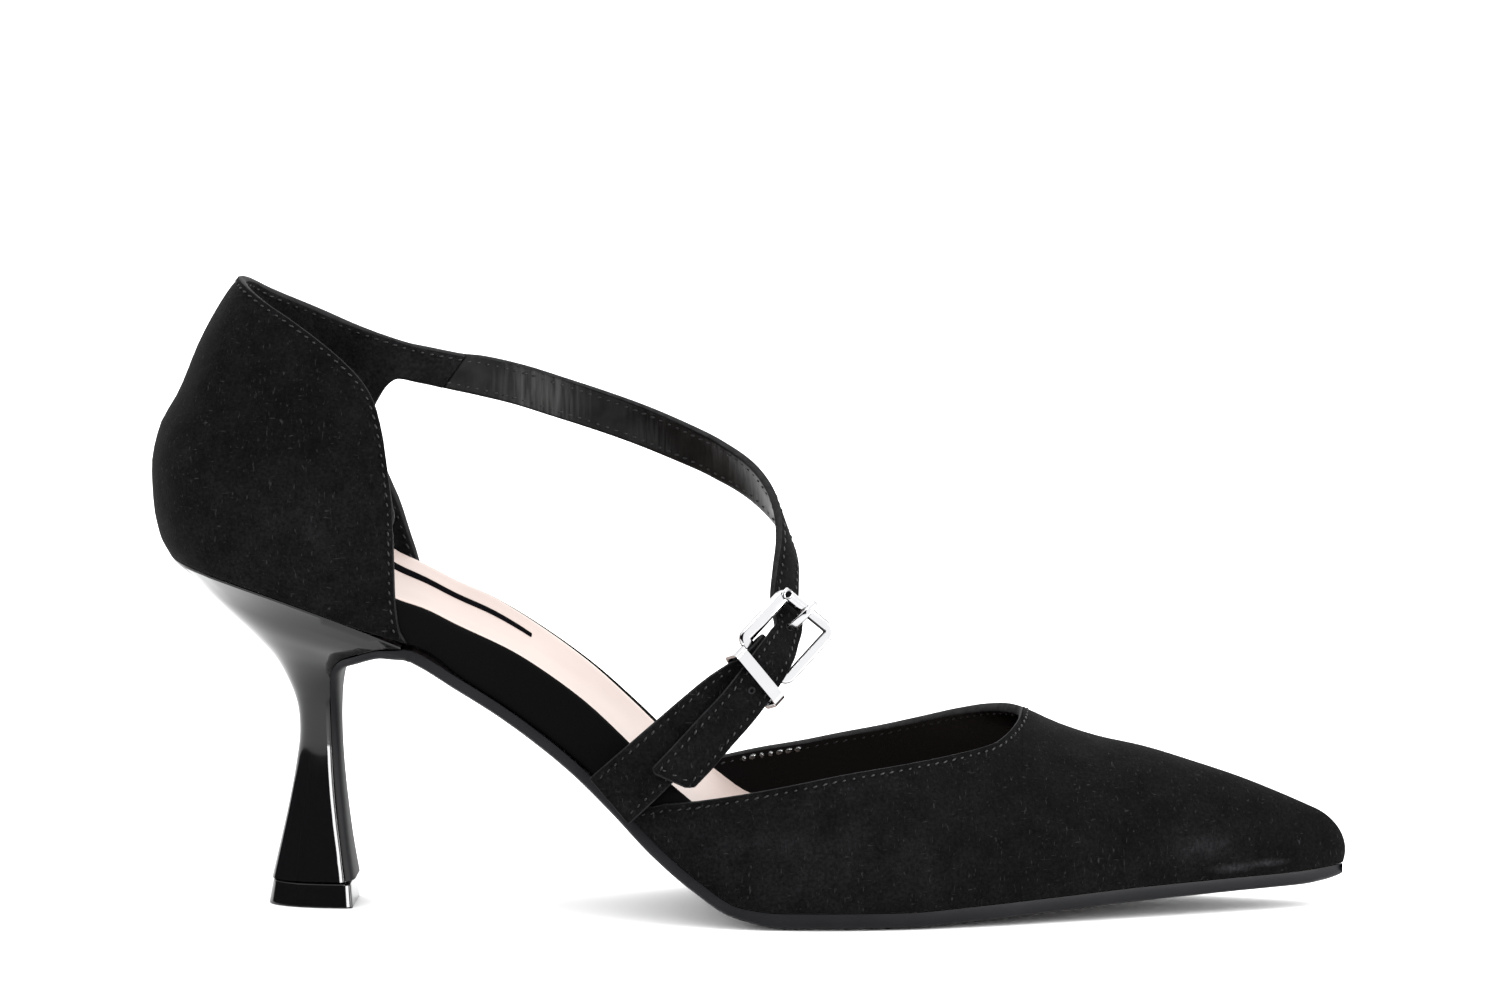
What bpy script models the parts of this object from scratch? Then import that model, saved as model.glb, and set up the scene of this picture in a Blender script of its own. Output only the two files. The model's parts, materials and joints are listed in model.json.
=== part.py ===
"""One right-foot pump: a two-piece suede upper, an instep strap with a prong buckle, a thin sole and a flared heel.

The part's frame: +X to the toe, +Y to the inner (medial) side, +Z up, origin under the heel tip on the floor.
The tables are in millimetres, and MM turns them to metres where each mesh is made.
"""

import math
from collections import namedtuple

import bmesh
import bpy
import numpy as np

MM = 0.001

# Clearance and wall thicknesses
GAP = 0.3
WALL = 2.0
RAND_STEP = 0.9
INSOLE_GAP = 0.6
INSOLE_FOOT = 0.6
INSOLE_HOLLOW = 1.6
STRAP_WALL = 1.6
CHAPE_WALL = 1.3

# Ends of the plan outline, and the upright line that the heel's ribs turn round
HEEL_BACK_X = -28.6
HEEL_BACK_COLUMNS = 3
HEEL_CENTRE_X = -2.0
HEEL_BLEND_X = 14.0
TOE_TIP = (212.6, 4.8)

# Places along the foot
LATERAL_FRONT_X = 19.2
MEDIAL_FRONT_X = 23.0
WAIST_END_X = 56.0
WING_X = (66.5, 70.2, 74.2, 79.4)
THROAT_X = 146.6
NOSE_X = 196.0
NOSE_SHARE = 0.62
RAND_FULL_X = 19.0
RAND_FLAT_X = 42.0
RAND_BULGE = 0.3

# Rows of the upper's grid: rand top, strap's lower edge, collar
RAND_ROW = 3
NOTCH_ROW = 8
TOP_ROW = 11
STRAP_ROOT = 12.4
ROOT_END_X = 28.0

# Outsole
SOLE_INSET = 0.3
SOLE_BALL = 2.7
SOLE_WAIST = 2.2
SOLE_TOE = 1.8
SOLE_ROUND = 0.7
SOLE_RIM = 1.0
SOLE_TURN = 5.0
SOLE_THICKENS_X = 60.0
TREAD_X = (98.0, 123.0)
SOLE_THIN_X = 205.0
TOE_HALF = 1.6
TOE_SETBACK = 0.35
FLAP = 1.6

# Heel tip
TIP_HEIGHT = 5.0
TIP_BACK = -8.2
TIP_FRONT = 9.2
TIP_HALF = 9.2
TIP_TAPER = 0.7

# Buckle: corner nearest the heel, its sizes and its three axes
BUCKLE_CORNER = (88.9, -24.0, 57.1)
BUCKLE_LONG = 15.0
BUCKLE_WIDE = 12.2
BUCKLE_BAR = 0.95
BUCKLE_FLAT = 0.65
BUCKLE_CORNER_R = 1.3
BUCKLE_TURN = -72.9
BUCKLE_TILT = 10.8
BUCKLE_ROLL = 44.4
PRONG_R = 0.6
PRONG_ACROSS = BUCKLE_WIDE / 2
PRONG_SLOT = 2.4
HOLE_R = 1.2
KEEPER_ALONG = -3.0
KEEPER_ACROSS = (1.7, 12.5)
KEEPER_OUT = (-2.5, 5.0)
KEEPER_WIDE = 2.6
KEEPER_WALL = 0.7

OutlineRow = namedtuple("OutlineRow", "x lateral medial columns")
SeatRow = namedtuple("SeatRow", "x z")
WallRow = namedtuple("WallRow", "rise back side")
EdgeRow = namedtuple("EdgeRow", "x z")
ShiftRow = namedtuple("ShiftRow", "rise shift")
RandRow = namedtuple("RandRow", "x lateral medial")
RidgeRow = namedtuple("RidgeRow", "x y z swell")
HeelRow = namedtuple("HeelRow", "back_x back_z front_x front_z half")
FlapRow = namedtuple("FlapRow", "x z half")
StrapRow = namedtuple("StrapRow", "x y z turn tilt width")
BuckleRow = namedtuple("BuckleRow", "along across out turn tilt width")
FoldRow = namedtuple("FoldRow", "along out")

# Featherline in plan, from heel to toe, with the number of ribs up to the next row
OUTLINE = [
    OutlineRow(-22.0, -17.2, 17.2, 2),
    OutlineRow(-12.0, -23.2, 23.0, 2),
    OutlineRow(-2.0, -24.8, 24.6, 2),
    OutlineRow(10.0, -25.0, 24.0, 4),
    OutlineRow(LATERAL_FRONT_X, -24.6, 22.9, 1),
    OutlineRow(MEDIAL_FRONT_X, -24.3, 22.3, 2),
    OutlineRow(34.0, -23.9, 20.6, 2),
    OutlineRow(45.0, -24.4, 19.8, 2),
    OutlineRow(WAIST_END_X, -26.3, 20.6, 2),
    OutlineRow(WING_X[0], -29.4, 23.2, 1),
    OutlineRow(WING_X[1], -30.8, 24.4, 1),
    OutlineRow(WING_X[2], -32.2, 25.9, 1),
    OutlineRow(WING_X[3], -34.0, 28.0, 2),
    OutlineRow(90.0, -36.6, 32.4, 2),
    OutlineRow(102.0, -37.6, 35.8, 2),
    OutlineRow(114.0, -37.0, 36.8, 2),
    OutlineRow(126.0, -34.8, 35.4, 2),
    OutlineRow(134.0, -32.3, 33.2, 2),
    OutlineRow(140.0, -30.2, 31.4, 2),
    OutlineRow(144.0, -28.7, 30.1, 2),
    OutlineRow(THROAT_X, -27.6, 29.2, 1),
    OutlineRow(154.0, -24.5, 26.7, 2),
    OutlineRow(164.0, -20.2, 23.3, 2),
    OutlineRow(174.0, -15.8, 19.9, 2),
    OutlineRow(184.0, -11.4, 16.6, 2),
    OutlineRow(194.0, -6.9, 13.4, 2),
    OutlineRow(202.0, -3.2, 11.0, 2),
    OutlineRow(208.0, 0.3, 9.0, 3),
]

# Height of the upper's lower edge: heel seat, waist, flat tread and toe spring
SEAT = [
    SeatRow(-32.0, 73.0), SeatRow(-20.0, 70.2), SeatRow(-10.0, 67.3), SeatRow(0.0, 63.9), SeatRow(10.0, 60.2),
    SeatRow(20.0, 56.2), SeatRow(24.4, 54.4), SeatRow(32.5, 49.4), SeatRow(40.7, 44.3), SeatRow(48.8, 38.6),
    SeatRow(57.0, 32.1), SeatRow(65.2, 24.4), SeatRow(73.4, 16.2), SeatRow(81.6, 9.3), SeatRow(89.7, 4.6),
    SeatRow(TREAD_X[0], 3.0), SeatRow(TREAD_X[1], 3.0), SeatRow(138.0, 3.4), SeatRow(154.0, 4.0), SeatRow(170.0, 4.7),
    SeatRow(187.0, 5.9), SeatRow(203.0, 7.0), SeatRow(214.0, 8.6),
]

# Heel counter: how far the wall lies in from the featherline at each height, at the back and at the sides
COUNTER = [
    WallRow(0.0, 0.0, 0.0), WallRow(4.0, -1.9, -1.0), WallRow(11.0, -3.2, -2.0), WallRow(18.0, -3.4, -2.4),
    WallRow(26.0, -1.9, -2.1), WallRow(34.0, 2.0, -0.9), WallRow(44.0, 6.2, 1.4), WallRow(52.0, 10.6, 3.7),
    WallRow(57.5, 14.4, 5.4), WallRow(66.0, 20.0, 8.0),
]

LATERAL_COLLAR = [
    EdgeRow(-14.2, 129.3), EdgeRow(-8.1, 125.2), EdgeRow(-2.1, 121.5), EdgeRow(3.4, 117.7), EdgeRow(9.1, 113.1),
    EdgeRow(13.1, 108.8), EdgeRow(15.4, 105.1), EdgeRow(17.1, 99.3), EdgeRow(18.8, 92.3), EdgeRow(19.3, 90.0),
]
MEDIAL_COLLAR = [
    EdgeRow(-14.2, 129.3), EdgeRow(-9.1, 126.1), EdgeRow(-3.2, 123.3), EdgeRow(4.8, 119.8), EdgeRow(12.9, 116.1),
    EdgeRow(17.0, 114.6), EdgeRow(25.2, 112.5),
]

# Counter's front edges: how far the edge runs ahead of its foot at each height
LATERAL_FRONT = [
    ShiftRow(0.0, 2.3), ShiftRow(2.0, 1.0), ShiftRow(6.0, 0.4), ShiftRow(10.0, 0.2), ShiftRow(18.0, 0.0),
    ShiftRow(36.0, -0.3),
]
MEDIAL_FRONT = [
    ShiftRow(0.0, 0.5), ShiftRow(8.0, -1.2), ShiftRow(14.4, -2.7), ShiftRow(19.3, -4.3), ShiftRow(25.8, -6.3),
    ShiftRow(32.1, -8.4), ShiftRow(41.8, -10.4), ShiftRow(48.0, -10.8), ShiftRow(62.0, -10.8),
]
LATERAL_LEAN_X = 10.0
MEDIAL_LEAN_X = -2.0

# Height of the waist rand and of the insole's edge above the featherline
RAND = [
    RandRow(-29.0, 9.0, 9.0), RandRow(-10.0, 9.0, 10.0), RandRow(10.0, 9.0, 11.5), RandRow(20.0, 8.9, 12.4),
    RandRow(28.0, 9.7, 13.1), RandRow(36.5, 10.9, 14.1), RandRow(44.6, 12.1, 14.6), RandRow(52.8, 12.8, 14.9),
    RandRow(61.0, 13.4, 15.0), RandRow(70.0, 13.8, 15.0), RandRow(79.4, 14.4, 14.9), RandRow(90.0, 12.4, 12.8),
    RandRow(104.0, 8.0, 8.2), RandRow(120.0, 6.0, 6.0), RandRow(150.0, 5.0, 5.0), RandRow(190.0, 4.0, 4.0),
    RandRow(214.0, 3.0, 3.0),
]

# Ridge of the last over the instep and vamp, and how far each rib swells outwards
RIDGE = [
    RidgeRow(WAIST_END_X, 0.0, 96.0, 3.0), RidgeRow(79.4, 0.0, 78.0, 5.0), RidgeRow(95.0, 0.2, 67.0, 6.0),
    RidgeRow(115.0, 0.6, 55.0, 6.2), RidgeRow(134.0, 1.2, 46.2, 6.0), RidgeRow(146.6, 1.6, 40.6, 5.6),
    RidgeRow(154.0, 2.0, 37.2, 5.2), RidgeRow(162.0, 2.4, 34.7, 4.8), RidgeRow(171.0, 2.9, 32.7, 4.2),
    RidgeRow(183.0, 3.6, 29.0, 3.6), RidgeRow(191.0, 4.0, 26.2, 3.2), RidgeRow(199.5, 4.4, 22.8, 2.6),
    RidgeRow(207.0, 4.8, 19.4, 2.0),
]
RIB_LIFT = 0.5
RIB_CROWN = 0.52

LATERAL_TOPLINE = [
    EdgeRow(79.4, 25.5), EdgeRow(90.0, 27.4), EdgeRow(100.5, 29.4), EdgeRow(111.3, 31.4), EdgeRow(121.8, 32.8),
    EdgeRow(133.8, 34.5), EdgeRow(140.9, 35.9), EdgeRow(143.9, 37.6), EdgeRow(145.6, 39.2), EdgeRow(146.6, 40.6),
]
MEDIAL_TOPLINE = [
    EdgeRow(79.4, 26.0), EdgeRow(91.5, 28.3), EdgeRow(99.9, 29.6), EdgeRow(108.3, 31.4), EdgeRow(116.7, 33.3),
    EdgeRow(125.1, 35.7), EdgeRow(133.5, 38.4), EdgeRow(140.0, 40.2), EdgeRow(144.0, 40.8), EdgeRow(146.6, 40.6),
]

# Heel sections from the tip up to the seat
HEEL = [
    HeelRow(-7.4, 5.3, 6.9, 5.3, 9.0),
    HeelRow(-5.7, 13.0, 5.9, 13.0, 7.4),
    HeelRow(-4.0, 21.0, 5.1, 21.0, 6.2),
    HeelRow(-2.5, 29.0, 4.5, 29.0, 5.4),
    HeelRow(-1.7, 36.0, 4.2, 36.0, 5.1),
    HeelRow(-2.3, 41.5, 4.2, 41.0, 5.6),
    HeelRow(-4.3, 46.6, 4.5, 45.6, 7.6),
    HeelRow(-7.4, 51.3, 5.3, 49.2, 10.8),
    HeelRow(-11.6, 55.8, 7.2, 51.6, 14.4),
    HeelRow(-17.0, 60.9, 10.6, 53.3, 18.4),
    HeelRow(-23.0, 66.6, 15.2, 54.9, 22.0),
]
HEEL_SEAT_FRONT_X = 20.5
HEEL_LIP = 0.4
HEEL_AROUND = 25
HEEL_ACROSS = 6

# Outsole flap: where the heel's front face is, down to the tip, with the flap's half width
FLAP_PATH = [
    FlapRow(22.6, 54.85, 23.6), FlapRow(21.2, 55.0, 23.4), FlapRow(18.8, 54.75, 22.6), FlapRow(15.4, 54.5, 20.8),
    FlapRow(10.8, 52.9, 17.0), FlapRow(7.5, 51.2, 13.2), FlapRow(5.65, 48.8, 9.6), FlapRow(4.85, 45.4, 6.8),
    FlapRow(4.55, 41.0, 5.2), FlapRow(4.55, 36.0, 4.8), FlapRow(4.85, 29.0, 5.1), FlapRow(5.45, 21.0, 5.9),
    FlapRow(6.25, 13.0, 7.1), FlapRow(7.2, 5.4, 8.6),
]

# Instep strap, from the counter over the instep to the buckle, with the way its face turns and tilts
STRAP = [
    StrapRow(12.2, 15.9, 110.2, 100, 18, 12.4),
    StrapRow(17.0, 17.3, 110.6, 102, 15, 8.2),
    StrapRow(22.0, 18.8, 109.4, 103, 13, 7.9),
    StrapRow(ROOT_END_X, 20.4, 108.1, 102, 11, 7.9),
    StrapRow(33.4, 21.8, 107.2, 100, 10, 8.0),
    StrapRow(41.7, 23.5, 105.1, 96, 9, 8.1),
    StrapRow(50.0, 24.6, 102.5, 92, 8, 8.2),
    StrapRow(58.3, 25.0, 99.7, 86, 8, 8.2),
    StrapRow(66.7, 23.8, 96.8, 78, 8, 8.2),
    StrapRow(75.2, 20.8, 93.6, 66, 9, 8.2),
    StrapRow(83.7, 15.4, 89.9, 49, 11, 8.2),
    StrapRow(90.4, 9.0, 85.6, 28, 12, 8.2),
    StrapRow(94.8, 2.2, 80.4, 4, 13, 8.2),
    StrapRow(97.2, -4.6, 74.2, -18, 14, 8.2),
    StrapRow(98.4, -10.0, 68.6, -34, 15, 8.0),
    StrapRow(98.7, -14.2, 64.6, -48, 14, 7.8),
]

# The strap's run through the buckle to its tip, in the buckle's own axes
STRAP_END = [
    BuckleRow(11.4, 5.1, -2.6, -66, 12, 7.8),
    BuckleRow(9.4, 6.1, -0.4, -74, 12, 7.5),
    BuckleRow(6.8, 6.1, 1.8, -74, 12, 7.6),
    BuckleRow(4.0, 6.4, 3.7, -74, 12, 7.6),
    BuckleRow(0.5, 7.0, 4.8, -74, 12, 7.8),
    BuckleRow(-4.0, 7.9, 4.2, -75, 11, 8.0),
    BuckleRow(-10.0, 8.5, 3.7, -76, 9, 8.2),
    BuckleRow(-18.0, 8.6, 3.3, -78, 7, 8.4),
    BuckleRow(-25.0, 8.4, 3.0, -82, 6, 8.6),
    BuckleRow(-31.0, 8.1, 2.4, -84, 5, 8.6),
]
TIP_SLANT = 2.2

# The prong after its hook: under the strap, through its hole and over the far bar
PRONG = [
    FoldRow(3.6, -1.75), FoldRow(6.0, -1.85), FoldRow(8.0, -1.5), FoldRow(9.4, -0.8), FoldRow(11.0, 0.5),
    FoldRow(12.6, 1.45), FoldRow(14.2, 1.8), FoldRow(15.5, 1.6),
]
HOLE_ALONG = 9.4
HOLE_OUT = -1.0

# The buckle strap from its foot at the waist up to the buckle, and its fold round the bar
CHAPE = [
    BuckleRow(-40.6, 4.3, -5.6, -85, 4, 10.0),
    BuckleRow(-33.0, 4.6, -1.5, -85, 5, 9.4),
    BuckleRow(-25.0, 4.9, -0.2, -82, 7, 8.9),
    BuckleRow(-17.0, 5.3, 0.4, -78, 8, 8.4),
    BuckleRow(-10.0, 5.8, 0.6, -74, 10, 7.8),
    BuckleRow(-5.0, BUCKLE_WIDE / 2, 0.8, BUCKLE_TURN, BUCKLE_TILT, 7.2),
]
FOLD = [
    FoldRow(-2.2, 1.1), FoldRow(0.2, 1.66), FoldRow(1.6, 1.62), FoldRow(2.8, 0.7), FoldRow(2.8, -0.7),
    FoldRow(1.6, -1.62), FoldRow(0.2, -1.72), FoldRow(-2.2, -1.3), FoldRow(-5.0, -0.95), FoldRow(-8.5, -1.15),
]
FOLD_WIDTH = 6.8

COLOURS = {
    "upper": (0.012, 0.012, 0.014), "instep_strap": (0.012, 0.012, 0.014), "buckle_strap": (0.012, 0.012, 0.014),
    "buckle_frame": (0.8, 0.8, 0.8), "buckle_prong": (0.8, 0.8, 0.8), "strap_keeper": (0.8, 0.8, 0.8),
    "insole": (0.75, 0.52, 0.45), "outsole": (0.01, 0.01, 0.013), "heel": (0.006, 0.006, 0.007),
    "heel_tip": (0.006, 0.006, 0.007),
}
CUTTER_COLOUR = (0.5, 0.5, 0.5)

Column = namedtuple("Column", "x y seat side inward reach ridge_x")


# Smooth curves

def smooth(rows, across, up):
    """A function through the rows' points that neither overshoots nor kinks."""
    xs = np.array([getattr(row, across) for row in rows], float)
    ys = np.array([getattr(row, up) for row in rows], float)
    steps = np.diff(xs)
    slopes = np.diff(ys) / steps
    tangents = np.zeros(len(xs))
    tangents[0], tangents[-1] = slopes[0], slopes[-1]
    for i in range(1, len(xs) - 1):
        if slopes[i - 1] * slopes[i] > 0:
            first = 2 * steps[i] + steps[i - 1]
            second = steps[i] + 2 * steps[i - 1]
            tangents[i] = (first + second) / (first / slopes[i - 1] + second / slopes[i])

    def value(x):
        x = min(max(x, xs[0]), xs[-1])
        i = min(int(np.searchsorted(xs, x, side="right")) - 1, len(steps) - 1)
        t = (x - xs[i]) / steps[i]
        lower = ys[i] * (1 + 2 * t) * (1 - t) ** 2 + tangents[i] * steps[i] * t * (1 - t) ** 2
        upper = ys[i + 1] * t * t * (3 - 2 * t) - tangents[i + 1] * steps[i] * t * t * (1 - t)
        return float(lower + upper)

    return value


def spline(points, counts, closed):
    """Points along a smooth curve through the given points, with so many steps in each span."""
    points = np.array(points, float)
    total = len(points)
    spans = total if closed else total - 1
    chords = [np.linalg.norm(points[(i + 1) % total] - points[i]) for i in range(spans)]
    tangents = []
    for i in range(total):
        if closed or 0 < i < total - 1:
            before = (points[i] - points[i - 1]) / chords[i - 1]
            after = (points[(i + 1) % total] - points[i]) / chords[i]
            tangents.append((before * chords[i] + after * chords[i - 1]) / (chords[i - 1] + chords[i]))
        elif i == 0:
            tangents.append((points[1] - points[0]) / chords[0])
        else:
            tangents.append((points[i] - points[i - 1]) / chords[i - 1])
    found = []
    for i in range(spans):
        following = (i + 1) % total
        for step in range(counts[i]):
            t = step / counts[i]
            found.append(
                points[i] * (1 + 2 * t) * (1 - t) ** 2 + tangents[i] * chords[i] * t * (1 - t) ** 2
                + points[following] * t * t * (3 - 2 * t) - tangents[following] * chords[i] * t * t * (1 - t)
            )
    if not closed:
        found.append(points[-1])
    return np.array(found)


def ease(value, low, high):
    t = min(max((value - low) / (high - low), 0.0), 1.0)
    return t * t * (3 - 2 * t)


def even_points(points, count):
    """So many points at even steps along a run of points."""
    points = np.array(points, float)
    lengths = np.concatenate([[0.0], np.cumsum(np.linalg.norm(np.diff(points, axis=0), axis=1))])
    wanted = np.linspace(0.0, lengths[-1], count)
    return np.stack([np.interp(wanted, lengths, points[:, k]) for k in range(points.shape[1])], axis=1)


def facing(turn, tilt):
    turn, tilt = math.radians(turn), math.radians(tilt)
    return np.array([math.cos(tilt) * math.cos(turn), math.cos(tilt) * math.sin(turn), math.sin(tilt)])


seat_z = smooth(SEAT, "x", "z")
counter_back = smooth(COUNTER, "rise", "back")
counter_side = smooth(COUNTER, "rise", "side")
ridge_y = smooth(RIDGE, "x", "y")
ridge_z = smooth(RIDGE, "x", "z")
ridge_swell = smooth(RIDGE, "x", "swell")
rand_rise = {-1: smooth(RAND, "x", "lateral"), 1: smooth(RAND, "x", "medial")}
collar_z = {-1: smooth(LATERAL_COLLAR, "x", "z"), 1: smooth(MEDIAL_COLLAR, "x", "z")}
front_shift = {-1: smooth(LATERAL_FRONT, "rise", "shift"), 1: smooth(MEDIAL_FRONT, "rise", "shift")}
topline_z = {-1: smooth(LATERAL_TOPLINE, "x", "z"), 1: smooth(MEDIAL_TOPLINE, "x", "z")}
FRONT_X = {-1: LATERAL_FRONT_X, 1: MEDIAL_FRONT_X}
LEAN_X = {-1: LATERAL_LEAN_X, 1: MEDIAL_LEAN_X}


# Columns round the last

def outline_points():
    lateral = [(row.x, row.lateral) for row in OUTLINE]
    medial = [(row.x, row.medial) for row in reversed(OUTLINE)]
    counts = [HEEL_BACK_COLUMNS] + [row.columns for row in OUTLINE]
    points = [(HEEL_BACK_X, 0.0)] + lateral + [TOE_TIP] + medial
    return spline(points, counts + counts[::-1], True)


def column_at(point, side):
    x, y = float(point[0]), float(point[1])
    if x > WAIST_END_X:
        ridge_x = x if x < NOSE_X else NOSE_X + (x - NOSE_X) * NOSE_SHARE
        target = np.array([ridge_x, ridge_y(ridge_x)])
    else:
        ridge_x = x
        target = np.array([max(x, HEEL_CENTRE_X), 0.0])
    way = target - np.array([x, y])
    reach = float(np.linalg.norm(way))
    return Column(x, y, seat_z(x), side, way / reach, reach, ridge_x)


def counter_point(column, rise):
    """The counter's and the waist's outer face at a height above the featherline."""
    back = min(max((HEEL_BLEND_X - column.x) / (HEEL_BLEND_X - HEEL_BACK_X), 0.0), 1.0) ** 1.2
    inset = counter_side(rise) * (1 - back) + counter_back(rise) * back
    inset *= 1 - (1 - RAND_BULGE) * ease(column.x, RAND_FULL_X, RAND_FLAT_X)
    front = FRONT_X[column.side]
    lean = ease(column.x, LEAN_X[column.side], front) * (1 - ease(column.x, front, front + 15))
    x = column.x + column.inward[0] * inset + lean * front_shift[column.side](rise)
    return np.array([x, column.y + column.inward[1] * inset, column.seat + rise])


def rib_point(column, share):
    """The vamp's outer face, at a share of the way from the featherline to the ridge."""
    top = ridge_z(column.ridge_x)
    height = top - column.seat
    slope = (ridge_z(column.ridge_x + 1) - ridge_z(column.ridge_x - 1)) / 2
    drop = -slope * column.inward[0] * RIB_CROWN * column.reach
    insets = (0.0, -ridge_swell(column.x), column.reach * (1 - RIB_CROWN), column.reach)
    heights = (column.seat, column.seat + RIB_LIFT * height, top + drop, top)
    weights = ((1 - share) ** 3, 3 * share * (1 - share) ** 2, 3 * share * share * (1 - share), share ** 3)
    inset = sum(w * v for w, v in zip(weights, insets))
    z = sum(w * v for w, v in zip(weights, heights))
    return np.array([column.x + column.inward[0] * inset, column.y + column.inward[1] * inset, z])


def rib_share(column, z):
    """The share of the rib at which it first reaches a height."""
    low, high = 0.0, 1.0
    for _ in range(40):
        middle = (low + high) / 2
        if rib_point(column, middle)[2] < z:
            low = middle
        else:
            high = middle
    return (low + high) / 2


def side_point(column, rise):
    """The outer face at a height above the featherline, anywhere round the shoe."""
    vamp = ease(column.x, WAIST_END_X, WING_X[3])
    if vamp == 0.0:
        return counter_point(column, rise)
    rib = rib_point(column, rib_share(column, column.seat + rise))
    if vamp == 1.0:
        return rib
    return counter_point(column, rise) * (1 - vamp) + rib * vamp


def collar_rise(column):
    rise = 50.0
    for _ in range(30):
        rise += 0.6 * (collar_z[column.side](counter_point(column, rise)[0]) - column.seat - rise)
    return rise


def column_points(column):
    """The upper's outer points up one column, and how many rows of it there are."""
    rand = rand_rise[column.side](column.x)
    points = [side_point(column, rand * row / RAND_ROW) for row in range(RAND_ROW + 1)]
    if column.x <= FRONT_X[column.side] + 0.01:
        top = collar_rise(column)
        notch = top - STRAP_ROOT
        for row in range(RAND_ROW + 1, TOP_ROW + 1):
            if row <= NOTCH_ROW:
                rise = rand + (notch - rand) * (row - RAND_ROW) / (NOTCH_ROW - RAND_ROW)
            else:
                rise = notch + (top - notch) * (row - NOTCH_ROW) / (TOP_ROW - NOTCH_ROW)
            points.append(counter_point(column, rise))
    elif column.x > WING_X[3] + 0.01:
        first = rib_share(column, column.seat + rand)
        last = 1.0
        if column.x < THROAT_X - 0.01:
            last = rib_share(column, topline_z[column.side](column.x))
        for row in range(RAND_ROW + 1, TOP_ROW + 1):
            share = first + (last - first) * (row - RAND_ROW) / (TOP_ROW - RAND_ROW)
            points.append(rib_point(column, share))
    return points


# Shells: cells with an outer layer, closed by an inner face and rims

def shell(points, cells, depths, inner):
    """Vertices and faces of a wall: each cell lies at its layer's depth, and the inner face at the inner depth."""
    normals = {key: np.zeros(3) for key in points}
    for _, keys in cells:
        corners = [points[key] for key in keys]
        normal = np.zeros(3)
        for i in range(1, len(corners) - 1):
            normal += np.cross(corners[i] - corners[0], corners[i + 1] - corners[0])
        normal /= max(np.linalg.norm(normal), 1e-9)
        for key in keys:
            normals[key] += normal
    for key in normals:
        normals[key] /= max(np.linalg.norm(normals[key]), 1e-9)
    layers = {key: set() for key in points}
    for layer, keys in cells:
        for key in keys:
            layers[key].add(layer)
    order = sorted(depths, key=lambda layer: depths[layer])
    vertices, numbers = [], {}

    def vertex(layer, key):
        if (layer, key) not in numbers:
            depth = inner if layer == "inner" else depths[layer]
            depth = depth(key) if callable(depth) else depth
            numbers[(layer, key)] = len(vertices)
            vertices.append(points[key] - normals[key] * depth)
        return numbers[(layer, key)]

    def chain(layer, key):
        below = [other for other in order if other in layers[key] and order.index(other) > order.index(layer)]
        return [vertex(other, key) for other in [layer] + below + ["inner"]]

    faces, sides = [], {}
    for number, (layer, keys) in enumerate(cells):
        faces.append([vertex(layer, key) for key in keys])
        faces.append([vertex("inner", key) for key in reversed(keys)])
        for a, b in zip(keys, keys[1:] + keys[:1]):
            sides.setdefault(frozenset((a, b)), []).append((number, a, b))
    for uses in sides.values():
        number, a, b = uses[0]
        layer = cells[number][0]
        if len(uses) == 1:
            faces.append(chain(layer, a) + chain(layer, b)[::-1])
            continue
        other = cells[uses[1][0]][0]
        if other == layer:
            continue
        if order.index(other) < order.index(layer):
            number, a, b = uses[1]
            layer, other = other, layer
        faces.append([vertex(layer, b), vertex(layer, a), vertex(other, a), vertex(other, b)])
    return vertices, faces


def solid(name, vertices, faces):
    """An object with the given closed mesh, its faces turned outwards."""
    mesh = bpy.data.meshes.new(name)
    made = bmesh.new()
    corners = [made.verts.new([float(value) * MM for value in vertex]) for vertex in vertices]
    for face in faces:
        whole = [corner for i, corner in enumerate(face) if corner != face[i - 1]]
        if len(whole) > 2:
            made.faces.new([corners[i] for i in whole])
    bmesh.ops.recalc_face_normals(made, faces=made.faces[:])
    bmesh.ops.triangulate(made, faces=made.faces[:])
    if made.calc_volume(signed=True) < 0:
        bmesh.ops.reverse_faces(made, faces=made.faces[:])
    made.to_mesh(mesh)
    made.free()
    item = bpy.data.objects.new(name, mesh)
    bpy.context.scene.collection.objects.link(item)
    material = bpy.data.materials.new(name)
    material.use_nodes = True
    colour = COLOURS.get(name, CUTTER_COLOUR)
    material.node_tree.nodes["Principled BSDF"].inputs["Base Color"].default_value = (*colour, 1)
    mesh.materials.append(material)
    return item


def loft(rings):
    """Vertices and faces of closed rings joined in turn, with the two end rings filled."""
    count = len(rings[0])
    vertices = [point for ring in rings for point in ring]
    faces = [list(range(count))[::-1]]
    for r in range(len(rings) - 1):
        for i in range(count):
            following = (i + 1) % count
            faces.append([r * count + i, r * count + following, (r + 1) * count + following, (r + 1) * count + i])
    faces.append([(len(rings) - 1) * count + i for i in range(count)])
    return vertices, faces


# Strap ribbons

def buckle_axes():
    out = facing(BUCKLE_TURN, BUCKLE_TILT)
    level = np.cross([0.0, 0.0, 1.0], out)
    level /= np.linalg.norm(level)
    rise = np.cross(out, level)
    roll = math.radians(BUCKLE_ROLL)
    along = level * math.cos(roll) + rise * math.sin(roll)
    across = level * math.sin(roll) - rise * math.cos(roll)
    return along, across, out


ALONG, ACROSS, OUT = buckle_axes()


def on_buckle(along, across, out):
    return np.array(BUCKLE_CORNER) + ALONG * along + ACROSS * across + OUT * out


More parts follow.
